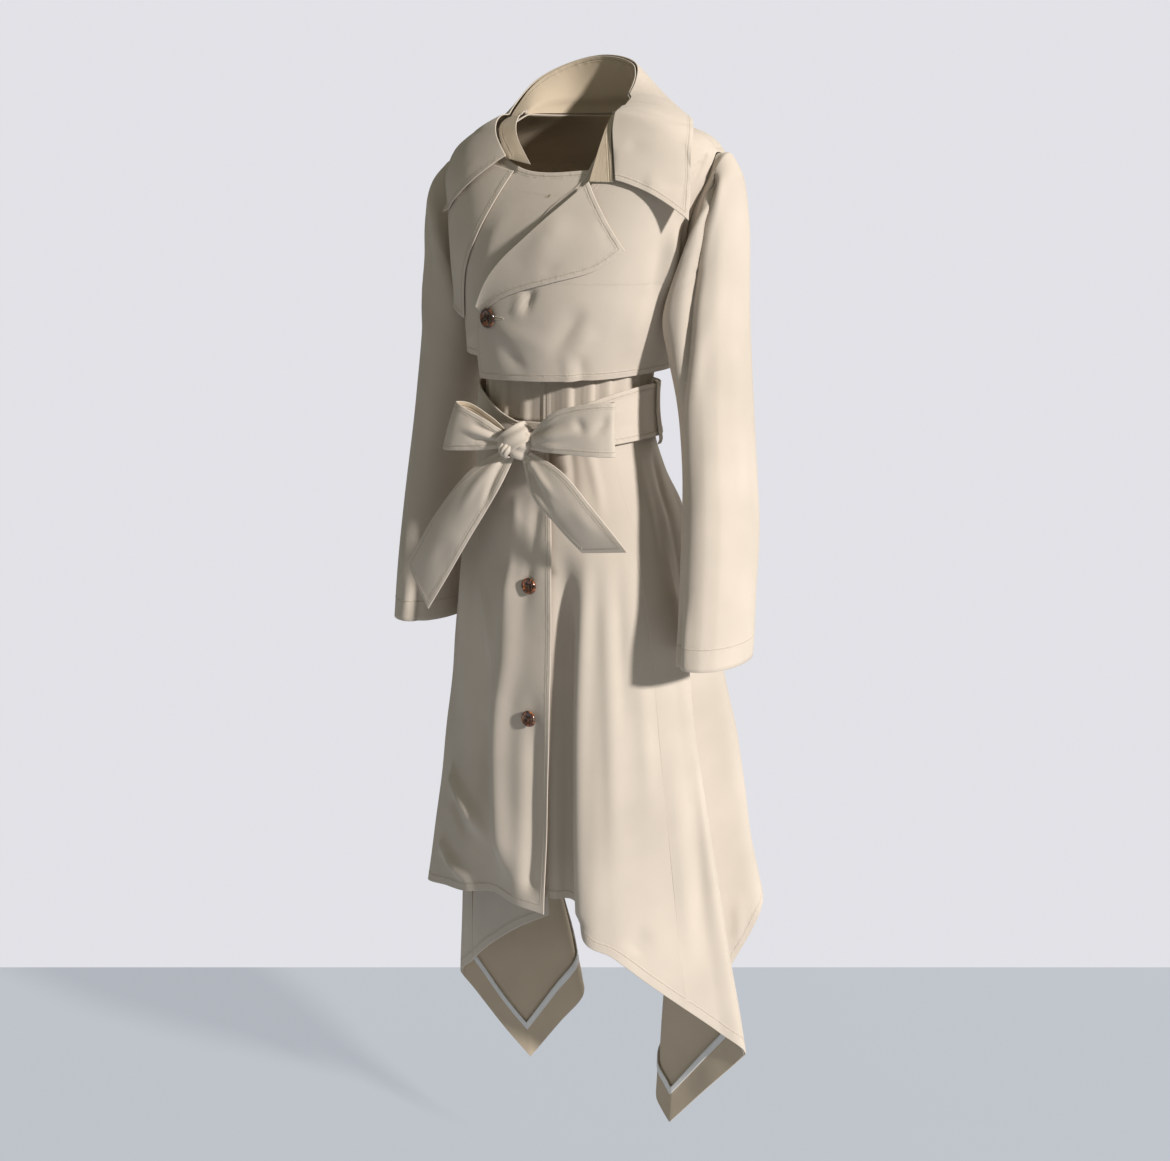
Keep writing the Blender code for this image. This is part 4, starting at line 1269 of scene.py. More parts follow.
FRONT_CREASES = crease_rows(
    (10, -142, -178, 16, -141, -158, 22, -140, -142, 9, -4.2, 0.2, 0.5, 0.3),
    (-2, -142, -185, 4, -141, -165, 10, -140, -146, 10, 2.6, 0, 0.5, 0.3),
    (82, -126, -160, 66, -132, -190, 34, -138, -226, 15, -3.8, -0.3, 0.4, 0.5),
    (92, -120, -186, 78, -126, -206, 50, -132, -236, 13, 2.6, 0.2, 0.4, 0.5),
    (72, -122, -214, 73, -119, -232, 71, -117, -253, 9.5, -3, 0.3, 0.6, 0),
    (58, -128, -210, 58, -124, -230, 57, -122, -253, 10, 1.8, 0, 0.6, 0),
    (-36, -136, -190, 6, -141, -196, 48, -136, -214, 16, 2.2, 0, 0.4, 0.6),
    (-30, -136, -206, -4, -139, -226, 16, -136, -246, 14, -2.2, 0, 0.5, 0.5),
    (130, -82, -150, 122, -82, -196, 118, -72, -245, 20, 3.4, 0, 0.5, 0.4),
)
LEFT_SHOULDER_CREASES = crease_rows(
    (175, -19, 1, 173, -32, 0, 167, -43, -8, 3, -1.7, 0, 0.1, 0.5),
    (175, -20, 0, 173, -33, -7, 166, -45, -18, 3.2, -2, 0, 0.1, 0.5),
    (176, -22, -2, 173, -36, -14, 165, -47, -30, 3.6, -2.4, 0, 0.1, 0.5),
    (176, -26, -6, 172, -40, -26, 163, -51, -50, 5, -3, 0, 0.1, 0.6),
    (162, -36, -64, 154, -40, -86, 153, -41, -110, 6, -4, 0, 0.3, 0.4),
    (157, -55, -66, 149, -50, -114, 137, -51, -166, 13, 8.5, 0, 0.4, 0.4),
    (142, -66, -80, 136, -66, -120, 128, -70, -170, 10, -2.8, 0, 0.4, 0.5),
)
RIGHT_CREASES = crease_rows(
    (-140, -70, -120, -128, -88, -160, -112, -88, -215, 15, 3, 0, 0.4, 0.4),
    (-160, -42, -60, -140, -66, -72, -112, -86, -78, 9, -2.8, 0, 0.1, 0.7),
    (-166, -30, -36, -142, -52, -40, -112, -70, -38, 8, 2.6, 0, 0.1, 0.7),
    (-60, -124, -196, -84, -112, -206, -112, -90, -212, 13, 2.2, 0, 0.5, 0.5),
    (-20, -110, -50, -44, -116, -90, -70, -120, -150, 16, 2, 0, 0.5, 0.5),
)
BACK_CREASES = crease_rows(
    (140, 52, -60, 110, 84, -100, 70, 90, -160, 16, 4.6, 0.2, 0.3, 0.6),
    (-136, 52, -70, -108, 82, -96, -60, 94, -130, 15, 4.2, 0.2, 0.3, 0.6),
    (146, 46, -110, 112, 80, -150, 80, 82, -215, 18, -3.8, 0, 0.3, 0.6),
    (-140, 46, -116, -116, 76, -158, -94, 78, -210, 16, 4, -0.2, 0.3, 0.6),
    (24, 86, -150, 18, 82, -200, 30, 76, -245, 16, 4.4, 0, 0.6, 0),
    (-30, 86, -170, -38, 80, -200, -34, 74, -240, 14, -3.4, 0, 0.6, 0),
    (90, 80, -10, 0, 98, -30, -84, 80, -14, 20, 3, 0, 0.3, 0.3),
    (-60, 90, -60, 0, 96, -78, 52, 92, -66, 18, -2.4, 0, 0.4, 0.4),
)
LAPEL_CREASES = crease_rows(
    (60, -118, -60, 40, -130, -90, 4, -142, -124, 24, 3, 0, 0.4, 0.5),
    (94, -112, -62, 100, -108, -84, 104, -104, -104, 12, -1.2, 0, 0.4, 0.3),
    (28, -138, -134, 40, -134, -124, 60, -128, -116, 10, -1, 0, 0.5, 0.5),
)


@dataclass
class Jacket:
    """The cropped double-breasted layer, with its lapel, facing and storm flap. Its numbers are steps."""

    front_columns: int = 76
    back_columns: int = 104
    hem_rows: int = 34
    armhole_rows: int = 54
    shoulder_rows: int = 34

    def climb(self, hem: float, side: int) -> Array:
        """Shares of the way up a side seam: even below and above the armhole, close at its ends."""
        centre, half = armhole(side)
        below = hem + (ARMHOLE_BOTTOM - hem) * spread(self.hem_rows, 0.006)[:-1]
        beside = centre - half * np.cos(np.linspace(0, math.pi, self.armhole_rows + 1))
        above = np.linspace(ARMHOLE_TOP[side], NECK_HEIGHT, self.shoulder_rows)[1:]
        return (np.concatenate([below, beside, above]) - hem) / (NECK_HEIGHT - hem)

    def panel(
        self, columns: int, low_edge: Curve, high_edge: Curve, hems: tuple[float, float],
        sides: tuple[int, int], top: Curve = lambda share: NECK_HEIGHT + 0 * share,
        lift: Curve = lambda angle: 0 * angle,
    ) -> ClothGrid:
        """Panel between two edges given as angles by height, from its hem to its top edge.

        Args:
            columns: Steps across.
            low_edge: Angle of the first edge at a height.
            high_edge: Angle of the last edge.
            hems: Height of the hem at both edges.
            sides: Side whose armhole sets the rows at both edges.
            top: Height of the top for a share across.
            lift: Distance off the ring for an angle.

        Returns:
            Its inner surface.
        """
        share = spread(columns, 0.003)[None, :]
        hem = hems[0] + (hems[1] - hems[0]) * share
        low_climb, high_climb = (self.climb(*place)[:, None] for place in zip(hems, sides))
        climb = low_climb * (1 - share) + high_climb * share
        height = hem + (top(share) - hem) * climb
        low = low_edge(height)
        angle = low + (high_edge(height) - low) * share
        return ClothGrid(torso(angle, height, lift(angle)))

    def build_fronts(self) -> None:
        """Left front over right front, creased together so that they stay apart."""
        left = self.panel(
            self.front_columns, lambda height: angle_across(LEFT_FRONT_EDGE.at(height, "across"), height),
            lambda height: SIDE - SEAM_ANGLE - armhole_opening(height, ARMHOLE_REACH_FRONT, 1),
            (JACKET_HEM_LEFT, JACKET_HEM_SIDE), (1, 1), lift=front_lift,
        ).creased(FRONT_CREASES + LEFT_SHOULDER_CREASES)
        ClothPiece(
            "jacket_front_left", left, (0.26, 0.33), Hold.HUNG, ["jacket_back"],
            {Edge.FIRST_ROW: JACKET_HEM, Edge.FIRST_COLUMN: TOPSTITCH}, area=0.075,
        ).build()
        right = self.panel(
            self.front_columns,
            lambda height: -SIDE + SEAM_ANGLE + armhole_opening(height, ARMHOLE_REACH_FRONT, -1),
            lambda height: angle_across(RIGHT_FRONT_EDGE + 0 * height, height),
            (JACKET_HEM_RIGHT, JACKET_HEM_RIGHT), (-1, -1),
            lambda share: RIGHT_FRONT_NECK.at(share, "height"),
        ).creased(FRONT_CREASES + RIGHT_CREASES)
        ClothPiece(
            "jacket_front_right", right, (0.26, 0.3), Hold.HUNG, ["jacket_back"],
            {Edge.FIRST_ROW: JACKET_HEM, Edge.LAST_COLUMN: TOPSTITCH, Edge.LAST_ROW: TOPSTITCH}, area=0.07,
        ).build()

    def build_back(self) -> None:
        """The back, from one side seam to the other."""
        back = self.panel(
            self.back_columns,
            lambda height: SIDE + SEAM_ANGLE + armhole_opening(height, ARMHOLE_REACH_BACK, 1),
            lambda height: 3 * SIDE - SEAM_ANGLE - armhole_opening(height, ARMHOLE_REACH_BACK, -1),
            (JACKET_HEM_SIDE, JACKET_HEM_RIGHT), (1, -1),
        ).creased(BACK_CREASES)
        ClothPiece(
            "jacket_back", back, (0.42, 0.34), Hold.HUNG, ["collar_stand"],
            sewn(Edge.FIRST_ROW, inset=JACKET_HEM), area=0.115,
        ).build()

    def build_lapel(self) -> None:
        """The turned-back lapel, highest at its roll, and the strip of facing beside the roll."""
        base = FRONT_LAP + CLOTH
        lapel = chest_strip(
            LAPEL, "roll", "edge", 58, 44,
            lambda share, along: base + 0.001 + 0.005 * (1 - share) ** 1.5 + 0 * along,
        )
        ClothPiece(
            "lapel_left", ClothGrid(lapel, flipped=True).creased(LAPEL_CREASES), (0.19, 0.1), Hold.FOLDED,
            ["jacket_front_left"], sewn(Edge.LAST_COLUMN, Edge.FIRST_ROW), area=0.0125,
        ).build()
        facing = chest_strip(
            NECK_FACING, "out", "in", 40, 8, lambda share, along: CLOTH + 0.0009 + 0 * share * along,
        )
        ClothPiece(
            "neck_facing_left", ClothGrid(facing, flipped=True), (0.125, 0.018), Hold.FOLDED,
            ["jacket_front_left"], sewn(Edge.FIRST_COLUMN, inset=0.003), wall=FACING_WALL, area=0.002,
        ).build()

    def build_storm_flap(self) -> None:
        """The flap hangs from the shoulder, clear of the front edge and out over the sleeve."""
        flap = chest_strip(
            STORM_FLAP, "free", "arm", 60, 28,
            lambda share, along: CLOTH + 0.0012 + share * (0.001 + 0.016 * along**1.5),
        )
        ClothPiece(
            "storm_flap_right", ClothGrid(flap), (0.22, 0.075), Hold.HUNG, ["jacket_front_right"],
            sewn(Edge.FIRST_COLUMN, Edge.LAST_ROW, Edge.LAST_COLUMN), area=0.0145,
        ).build()

    def build(self) -> None:
        """Makes every piece of the layer."""
        self.build_fronts()
        self.build_back()
        self.build_lapel()
        self.build_storm_flap()


# --- collar
LEAF_CREASES = crease_rows(
    (86, -64, 30, 112, -52, 30, 146, -20, 8, 10, 4.2, -0.4, 0.3, 0.3),
    (100, -76, 12, 126, -66, -4, 160, -40, -26, 15, -3.4, 0, 0.3, 0.4),
    (128, -84, -30, 140, -76, -34, 156, -66, -44, 14, 2.8, 0, 0.4, 0.5),
    (92, -88, 14, 94, -92, -8, 100, -96, -28, 6, -1.6, 0, 0.3, 0.3),
    (176, -70, -58, 166, -46, -36, 152, -14, 2, 6, 1.6, 0, 0.2, 0.2),
    (-80, -80, -6, -104, -84, -24, -128, -82, -48, 12, 2.4, 0, 0.3, 0.5),
    (-96, -30, 30, -118, -42, 6, -136, -52, -24, 13, -2.6, 0, 0.3, 0.4),
    (60, 60, 90, 84, 70, 70, 104, 76, 38, 16, -3, 0, 0.3, 0.3),
    (-20, 70, 104, -18, 84, 72, -22, 96, 36, 18, 3.4, 0, 0.3, 0.3),
    (-64, 60, 96, -82, 66, 66, -92, 70, 34, 16, -3, 0, 0.3, 0.3),
)


@dataclass
class Collar:
    """The large collar: a stand round the neck, and a leaf from its roll. Its numbers are steps."""

    columns: int = 180
    stand_rows: int = 14
    leaf_rows: int = 34

    def build(self) -> None:
        """Makes the stand and the leaf."""
        along = spread(self.columns, 0.001)[None, :]
        seam = COLLAR.point(along, "seam_x seam_y seam_z") + np.array([0, 0, 0.0012])
        roll = clear_of_jacket(COLLAR.point(along, "roll_x roll_y roll_z"), ROLL_CLEARANCE)
        edge = COLLAR.point(along, "edge_x edge_y edge_z")
        rise = COLLAR.at(along, "rise")[..., None]
        climb = spread(self.stand_rows)[:, None, None]
        stand = seam + (roll - seam) * climb
        off_right = STAND_CLEARANCE + 0.002 * ease((-stand[..., 0] - 0.02) / 0.03)
        ClothPiece(
            "collar_stand", ClothGrid(clear_of_jacket(stand, off_right)).rippled(0.05, 0.0006, 5),
            (0.52, 0.06), Hold.FOLDED, ["jacket_back", "jacket_front_left"],
            sewn(Edge.LAST_ROW, inset=0.004), area=0.02,
        ).build()
        fall = spread(self.leaf_rows, 0.008)[:, None, None]
        outward = unit((edge - roll) * np.array([1, 1, 0]))
        start = roll + outward * 0.0032 + np.array([0, 0, 0.0014])
        leaf = start + (edge - start) * fall
        leaf = leaf + np.array([0, 0, 1]) * rise * 4 * fall * (1 - fall)
        over_flap = LEAF_CLEARANCE + 0.003 * ease((-leaf[..., 0] - 0.02) / 0.04)
        grid = ClothGrid(clear_of_jacket(leaf, over_flap), flipped=True).creased(LEAF_CREASES)
        ClothPiece(
            "collar_leaf", grid, (0.66, 0.115), Hold.FOLDED, ["collar_stand"],
            sewn(Edge.LAST_ROW, Edge.FIRST_COLUMN, Edge.LAST_COLUMN), area=0.05,
        ).build()


# --- sleeves
SLEEVE_CREASES = crease_rows(
    (206, -46, -50, 200, -58, -110, 172, -52, -170, 13, -5, 0.2, 0.3, 0.5),
    (196, -44, -26, 186, -56, -80, 168, -50, -140, 9, 3.6, 0.2, 0.3, 0.5),
    (210, -46, -110, 206, -54, -180, 178, -56, -250, 16, 4, 0, 0.4, 0.5),
    (190, -60, -250, 200, -66, -330, 196, -80, -420, 18, -3, 0, 0.5, 0.5),
    (190, -88, -470, 188, -94, -520, 191, -94, -572, 7.5, -4.8, 0.4, 0.6, 0),
    (200, -92, -480, 199, -98, -525, 203, -98, -572, 9, 2.6, 0, 0.6, 0),
    (222, -30, -120, 228, -28, -290, 240, -34, -500, 20, 2.4, 0, 0.4, 0.4),
    (212, 30, -100, 214, 44, -220, 220, 30, -350, 18, -3.6, 0, 0.4, 0.4),
    (190, 44, -60, 176, 52, -140, 160, 40, -210, 13, 4.2, 0, 0.3, 0.5),
    (172, 48, -230, 180, 54, -300, 200, 46, -380, 15, -4, 0.2, 0.4, 0.5),
    (200, 36, -420, 196, 30, -500, 206, 20, -572, 13, 3.6, 0, 0.5, 0),
)


LEFT_SLEEVE_CREASES = crease_rows(
    (187, -26, -16, 199, -56, -52, 184, -57, -131, 8.5, -11, -0.45, 0.2, 0.11),
    (186, -55, -118, 177, -66, -186, 173, -66, -320, 8.5, -11, -0.45, 0.065, 0.6),
    (197, -28, -20, 209, -55, -56, 196, -57, -134, 9, 3.6, 0, 0.3, 0.11),
    (198, -56, -121, 190, -64, -190, 186, -66, -320, 9, 3.6, 0, 0.065, 0.6),
)


@dataclass
class Sleeve:
    """A wide straight sleeve: rings from the armhole's own oval down to the cuff, in steps round and down.

    Attributes:
        side: 1 for the wearer's left and -1 for the right.
    """

    node: str
    side: int
    around: int = 108
    head_rows: int = 14
    rows: int = 116

    def armhole(self, turn: Array) -> Array:
        """Ring along the armhole, a little inside its edge."""
        centre, half = armhole(self.side)
        height = centre - (half - SLEEVE_INSET) * np.cos(turn)
        front = np.sin(turn) >= 0
        reach = np.where(front, ARMHOLE_REACH_FRONT, ARMHOLE_REACH_BACK) - math.radians(1.2)
        angle = SIDE - reach * np.sin(turn)
        lift = np.where(front, front_lift(self.side * angle), 0) * (self.side > 0)
        return torso(self.side * angle, height, lift) + np.array([self.side * SLEEVE_RISE, 0, 0])

    def rings(self, along: Array, turn: Array) -> Array:
        """Ovals of the table on the wearer's left, from the inner point round the front to the outer."""
        inner = SLEEVE.point(along, "in_x y in_z")
        outer = SLEEVE.point(along, "out_x y out_z")
        if self.side > 0:
            outer[..., 0] -= SLEEVE_SLACK.at(along, "slim")
            outer[..., 2] += SLEEVE_SLACK.at(along, "rise")
        ring = inner + (outer - inner) * ((1 - np.cos(turn)) / 2)[..., None]
        ring[..., 1] -= np.sin(turn) * SLEEVE.at(along, "half_deep")
        slack = SLEEVE_SLACK.at(along, "out") * np.clip(np.cos(turn - SLACK_PLACE), 0, 1) ** 1.5
        return ring + slack[..., None] * SLACK_HEADING

    def surface(self) -> ClothGrid:
        """Rings below a head that swells softly out of the armhole.

        The head is a Hermite blend: its start leaves the armhole square to the side, its end runs on
        as the first ring does.
        """
        turn = turns(self.around)
        first = SLEEVE.keys()[0]
        below = self.rings(np.linspace(first, 1, self.rows + 1)[:, None], turn)
        ahead = (self.rings(np.array([[first + 0.01]]), turn) - below[:1]) / 0.01
        flip = np.array([self.side, 1, 1])
        below, ahead = below * flip, ahead * flip
        start = self.armhole(turn)
        reach = np.linalg.norm(below[:1] - start, axis=-1, keepdims=True)
        out = np.array([self.side * 1.0, 0, -0.15]) * reach * 0.9
        share = spread(self.head_rows, 0.02)[:-1, None, None]
        rise = ease(share)
        head = start * (1 - rise) + below[:1] * rise
        head = head + share * (1 - share) ** 2 * out + share**2 * (share - 1) * unit(ahead) * reach * 0.9
        return ClothGrid(np.concatenate([head, below]), True, self.side > 0)

    def build(self) -> None:
        """Makes the sleeve."""
        left = self.side > 0
        creases = [crease.on_side(self.side) for crease in SLEEVE_CREASES]
        if left:
            creases.extend(LEFT_SLEEVE_CREASES)
        ClothPiece(
            self.node, self.surface().creased(creases).rippled(0.12, 0.0012, 20 + self.side), (0.62, 0.32),
            Hold.HUNG, ["jacket_back", "jacket_front_left" if left else "jacket_front_right"],
            sewn(Edge.LAST_ROW, inset=CUFF_HEM), area=0.155,
        ).build()


# --- bodice
@dataclass(frozen=True)
class Pleat:
    """A knife pleat: a slow rise to its edge and a quick fall behind it.

    Attributes:
        angle: Where its edge stands, in degrees from the front centre.
        width: Degrees over which it rises.
        depth: Its height in millimetres.
    """

    angle: float
    width: float
    depth: float

    def relief(self, degrees: Array) -> Array:
        """Height at an angle: an eased ramp up to the edge, and an eased fall over a fifth of its width."""
        apart = (degrees - self.angle) / self.width
        return self.depth / 1000 * ease(1 + apart) * ease(1 - apart * 5)


FRONT_PLEATS = tuple(
    Pleat(*row) for row in (
        (-74, 10, 3), (-58, 13, 3.4), (-40, 15, 3.8), (-20, 15, 3.6), (-4, 13, 3), (7.4, 3, 2),
        (10.2, 2, 2.2), (25, 13, 4), (41, 12, 4.2), (55, 10, 4.8), (70, 11, 3.4), (82, 9, 3),
    )
)
BACK_PLEATS = tuple(
    Pleat(*row) for row in (
        (103, 9, 3.2), (117, 11, 2.6), (128, 7, 3.8), (144, 12, 3), (155, 7, 2), (169, 11, 4),
        (181, 8, 2.4), (196, 12, 3.6), (208, 8, 2.2), (223, 11, 4), (235, 8, 2.6), (250, 11, 3.4),
        (263, 8, 2.4),
    )
)


@dataclass
class Bodice:
    """Two gathered pieces from a hidden seam inside the jacket down to the waist. Its numbers are steps."""

    columns: int = 150
    rows: int = 30
    seam_rows: int = 12

    def surface(self, first: float, pleats: Sequence[Pleat]) -> ClothGrid:
        """Pleated ring that fades upward, then leans out to the jacket.

        Args:
            first: Angle of its first edge.
            pleats: Its knife pleats.

        Returns:
            Its inner surface.
        """
        angle = first + SEAM_ANGLE + (2 * SIDE - 2 * SEAM_ANGLE) * spread(self.columns, 0.002)[None, :]
        height = np.linspace(WAIST_SEAM + 0.0012, BODICE_TOP, self.rows + 1)[:, None]
        climb = (height - WAIST_SEAM) / (BODICE_TOP - WAIST_SEAM)
        degrees = np.degrees(angle)
        relief = sum(pleat.relief(degrees) for pleat in pleats) - 0.0012
        relief = relief * ease((degrees - math.degrees(first)) / 4) * ease(
            (math.degrees(first) + 180 - degrees) / 4
        )
        fine = 0.0002 * np.sin(1.9 * degrees + 3 * np.sin(0.11 * degrees)) * (1 - climb)
        hanging = body(angle, height, relief * (1 - 0.45 * climb) + fine)
        seam = torso(angle, BODICE_SEAM + 0 * angle, -CLOTH - 0.0011)
        share = np.linspace(0, 1, self.seam_rows + 1)[1:, None, None]
        return ClothGrid(np.concatenate([hanging, hanging[-1:] + (seam - hanging[-1:]) * share]))

    def build(self) -> None:
        """Makes both pieces."""
        for node, first, pleats in (
            ("bodice_front", -SIDE, FRONT_PLEATS), ("bodice_back", SIDE, BACK_PLEATS),
        ):
            other = "jacket_front_left" if first < 0 else "jacket_back"
            ClothPiece(
                node, self.surface(first, pleats), (0.46, 0.16), Hold.GATHERED, [other], area=0.07,
            ).build()


# --- skirt
def skirt_surface(folds: Table, angle: Array, drop: Array, lift: float) -> Array:
    """Point of a skirt panel: a body ring at the waist that opens into the hem's folds in plan.

    Args:
        folds: Place in plan and height of the hem by angle.
        angle: Degrees at the waist.
        drop: Share of the way down.
        lift: Distance off the ring at the waist.

    Returns:
        The points.
    """
    hem = folds.at(angle, "hem")
    height = WAIST_SEAM + (hem - WAIST_SEAM) * drop
    ring = body(np.radians(angle), np.maximum(height, BODY.keys()[0]), lift)
    opened = np.clip((HIP - height) / (HIP - hem), 0, 1)[..., None] ** 1.25
    points = ring * (1 - opened) + folds.point(angle, "x y hem") * opened
    points[..., 2] = height
    return points


def fold_angles(folds: Table, columns: int) -> Array:
    """Angles of a panel's columns: about even along the hem, with one on its corner.

    Args:
        folds: The panel's folds.
        columns: Steps across.

    Returns:
        Degrees, as one row.
    """
    keys = folds.keys()
    fine = np.linspace(keys[0] + SEAM_DEGREES, keys[-1] - SEAM_DEGREES, 1500)
    hem = np.linalg.norm(np.diff(folds.point(fine, "x y hem"), axis=0), axis=-1)
    waist = np.linalg.norm(np.diff(skirt_surface(folds, fine, np.array(0.0), 0.0), axis=0), axis=-1)
    reach = np.concatenate([[0], np.cumsum(hem + waist)])
    angles = np.interp(spread(columns, 0.002) * reach[-1], reach, fine)
    if folds.corner is not None:
        angles[np.abs(angles - folds.corner).argmin()] = folds.corner
    return angles[None, :]


def strip_inside(
    grid: ClothGrid, hem: Array, bottom: float, top: float, inset: float, rows: int,
) -> ClothGrid:
    """Strip that follows a panel's inner face between two heights above its hem.

    Args:
        grid: The panel.
        hem: Height of the hem in each column.
        bottom: Lower height.
        top: Upper height.
        inset: Distance in from the panel.
        rows: Steps down.

    Returns:
        Its inner surface.
    """
    rise = np.linspace(top, bottom, rows + 1)[:, None]
    place = (1 - rise / (WAIST_SEAM - hem)) * (len(grid.points) - 1)
    low = np.clip(np.floor(place).astype(int), 0, len(grid.points) - 2)
    part = (place - low)[..., None]
    column = np.arange(grid.points.shape[1])[None, :]
    inner = grid.points - grid.normals() * inset
    return ClothGrid(inner[low, column] * (1 - part) + inner[low + 1, column] * part, False, grid.flipped)


LEFT_FRONT_CREASES = crease_rows(
    (47, -114, -430, 47, -117, -660, 47, -112, -890, 20, -12, 0, 0.25, 0),
    (73, -108, -430, 67, -118, -660, 72, -124, -890, 14, 6.2, 0, 0.25, 0),
    (94, -104, -440, 108, -110, -620, 118, -116, -860, 15, 3, 0.2, 0.3, 0.4),
    (104, -92, -420, 112, -98, -560, 124, -104, -700, 13, -2.6, 0, 0.4, 0.5),
    (134, -106, -938, 142, -98, -920, 154, -86, -908, 20, -2, 0, 0.3, 0.5),
    (128, -84, -520, 140, -82, -660, 150, -84, -800, 16, 3, 0, 0.4, 0.5),
    (70, -100, -332, 82, -96, -372, 88, -96, -420, 9, 3, 0, 0, 0.7),
    (50, -108, -332, 56, -108, -372, 58, -112, -410, 8, -2.6, 0, 0, 0.7),
)
LEFT_SIDE_CREASES = crease_rows(
    (112, -50, -335, 124, -50, -420, 140, -50, -560, 12, 3.6, 0, 0.1, 0.7),
    (112, -20, -335, 126, -16, -420, 142, -10, -520, 11, -3.4, 0, 0.1, 0.7),
    (108, 20, -335, 122, 22, -420, 136, 30, -560, 12, 4, 0, 0.1, 0.7),
    (98, 44, -335, 108, 60, -430, 120, 86, -600, 13, -3.4, 0, 0.1, 0.7),
    (160, -66, -620, 176, -58, -760, 190, -52, -980, 18, 4, 0, 0.4, 0.3),
    (158, -26, -600, 180, -26, -760, 200, -36, -980, 18, -4.6, 0, 0.4, 0.3),
    (150, 130, -930, 156, 138, -980, 146, 140, -1030, 14, 4, 0, 0.5, 0.4),
    (142, 100, -620, 152, 120, -740, 164, 150, -900, 20, 5, 0, 0.4, 0.4),
)
SKIRT_BACK_CREASES = crease_rows(
    (70, 46, -335, 78, 70, -460, 80, 100, -640, 14, 4.6, 0, 0.1, 0.6),
    (40, 40, -335, 46, 66, -440, 50, 90, -560, 11, -3.6, 0, 0.1, 0.6),
    (10, 38, -335, 14, 70, -480, 8, 108, -700, 14, 4.4, 0, 0.1, 0.6),
    (-34, 40, -335, -36, 68, -450, -44, 90, -560, 12, 4, 0, 0.1, 0.7),
    (-60, 46, -335, -70, 80, -500, -80, 116, -700, 15, -4.4, 0, 0.1, 0.6),
    (-84, 46, -335, -100, 80, -470, -106, 110, -620, 14, 4, 0, 0.1, 0.7),
    (30, 120, -700, 34, 140, -800, 30, 160, -926, 22, -5, 0, 0.5, 0),
    (-70, 120, -680, -60, 140, -800, -72, 166, -928, 20, 4.6, 0, 0.5, 0),
    (-60, 110, -640, 0, 120, -700, 60, 120, -730, 22, 2.6, 0, 0.5, 0.5),
)
RIGHT_SIDE_CREASES = crease_rows(
    (-112, -30, -335, -124, -26, -420, -140, -20, -560, 12, 3.6, 0, 0.1, 0.7),
    (-110, 0, -335, -124, 6, -420, -138, 14, -520, 11, -3.6, 0, 0.1, 0.7),
    (-104, 30, -335, -116, 44, -430, -128, 60, -580, 13, 4.4, 0, 0.1, 0.7),
    (-140, 100, -640, -150, 124, -760, -160, 150, -920, 20, 5, 0, 0.4, 0.4),
    (-150, 40, -640, -156, 60, -780, -150, 90, -960, 18, -4.6, 0, 0.4, 0.4),
    (-166, -16, -660, -176, -16, -820, -182, -10, -1040, 16, 3.6, 0, 0.4, 0.3),
)
OVERLAY_CREASES = crease_rows(
    (-20, -127, -562, -64, -117, -664, -37, -124, -880, 23, 11, 0, 0.35, 0.15),
    (9, -128, -600, 13, -128, -745, 2, -131, -890, 18.5, -7.5, 0, 0.4, 0.1),
    (-155, -81, -758, -101, -123, -778, -70, -113, -845, 14.5, 12.5, 0, 0.25, 0.4),
    (-66, -117, -640, -71, -116, -718, -80, -114, -805, 14, -4.5, 0, 0.4, 0.4),
    (-165, -81, -800, -131, -102, -806, -92, -114, -845, 13, -4.5, 0, 0.3, 0.4),
    (-174, -84, -866, -144, -102, -880, -89, -115, -893, 13, 9.5, 0, 0.2, 0.4),
    (-83, -110, -487, -57, -120, -544, -63, -118, -610, 10, 5.6, 0, 0.4, 0.4),
    (-30, -125, -460, -28, -126, -540, -34, -124, -640, 26, 7, 0, 0.3, 0.4),
    (-104, -86, -400, -126, -90, -540, -140, -94, -700, 15, 4, 0, 0.3, 0.5),
    (-88, -94, -400, -104, -104, -520, -106, -108, -640, 12, -3, 0, 0.3, 0.5),
    (14, -120, -380, 8, -124, -450, -10, -126, -560, 12, -3.2, 0, 0.2, 0.6),
    (-16, -118, -380, -22, -122, -460, -34, -124, -560, 11, 3, 0, 0.2, 0.6),
    (-128, -60, -340, -150, -60, -460, -166, -60, -640, 14, 4, 0, 0.1, 0.6),
)


@dataclass(frozen=True)
class SkirtPanel:
    """One panel of the skirt.

    Attributes:
        columns: Steps across.
        rows: Steps down.
        lift: Distance off the waist ring.
        seed: Chooses its slow unevenness.
    """

    node: str
    folds: Table
    columns: int
    rows: int
    lift: float
    flat: tuple[float, float]
    area: float
    seams: dict[Edge, float]
    rests_on: Sequence[str]
    creases: Sequence[Crease]
    seed: int

    def grid(self) -> tuple[ClothGrid, Array]:
        """Its creased surface from the waist down, and the height of its hem in each column."""
        angle = fold_angles(self.folds, self.columns)
        drop = spread(self.rows, 0.0015)[:, None]
        points = skirt_surface(self.folds, angle, drop, self.lift)
        calm = ease((WAIST_SEAM - 0.03 - points[..., 2]) / 0.15)
        grid = ClothGrid(points, flipped=True).creased(self.creases)
        grid = grid.moved(ripples(grid.points, 0.16, 0.0022, self.seed) * calm)
        return grid, self.folds.at(angle[0], "hem")

    def build(self) -> tuple[ClothGrid, Array]:
        """Makes the panel and gives its surface for what is sewn inside it."""
        grid, hem = self.grid()
        ClothPiece(self.node, grid, self.flat, Hold.HUNG, self.rests_on, self.seams, area=self.area).build()
        return grid, hem


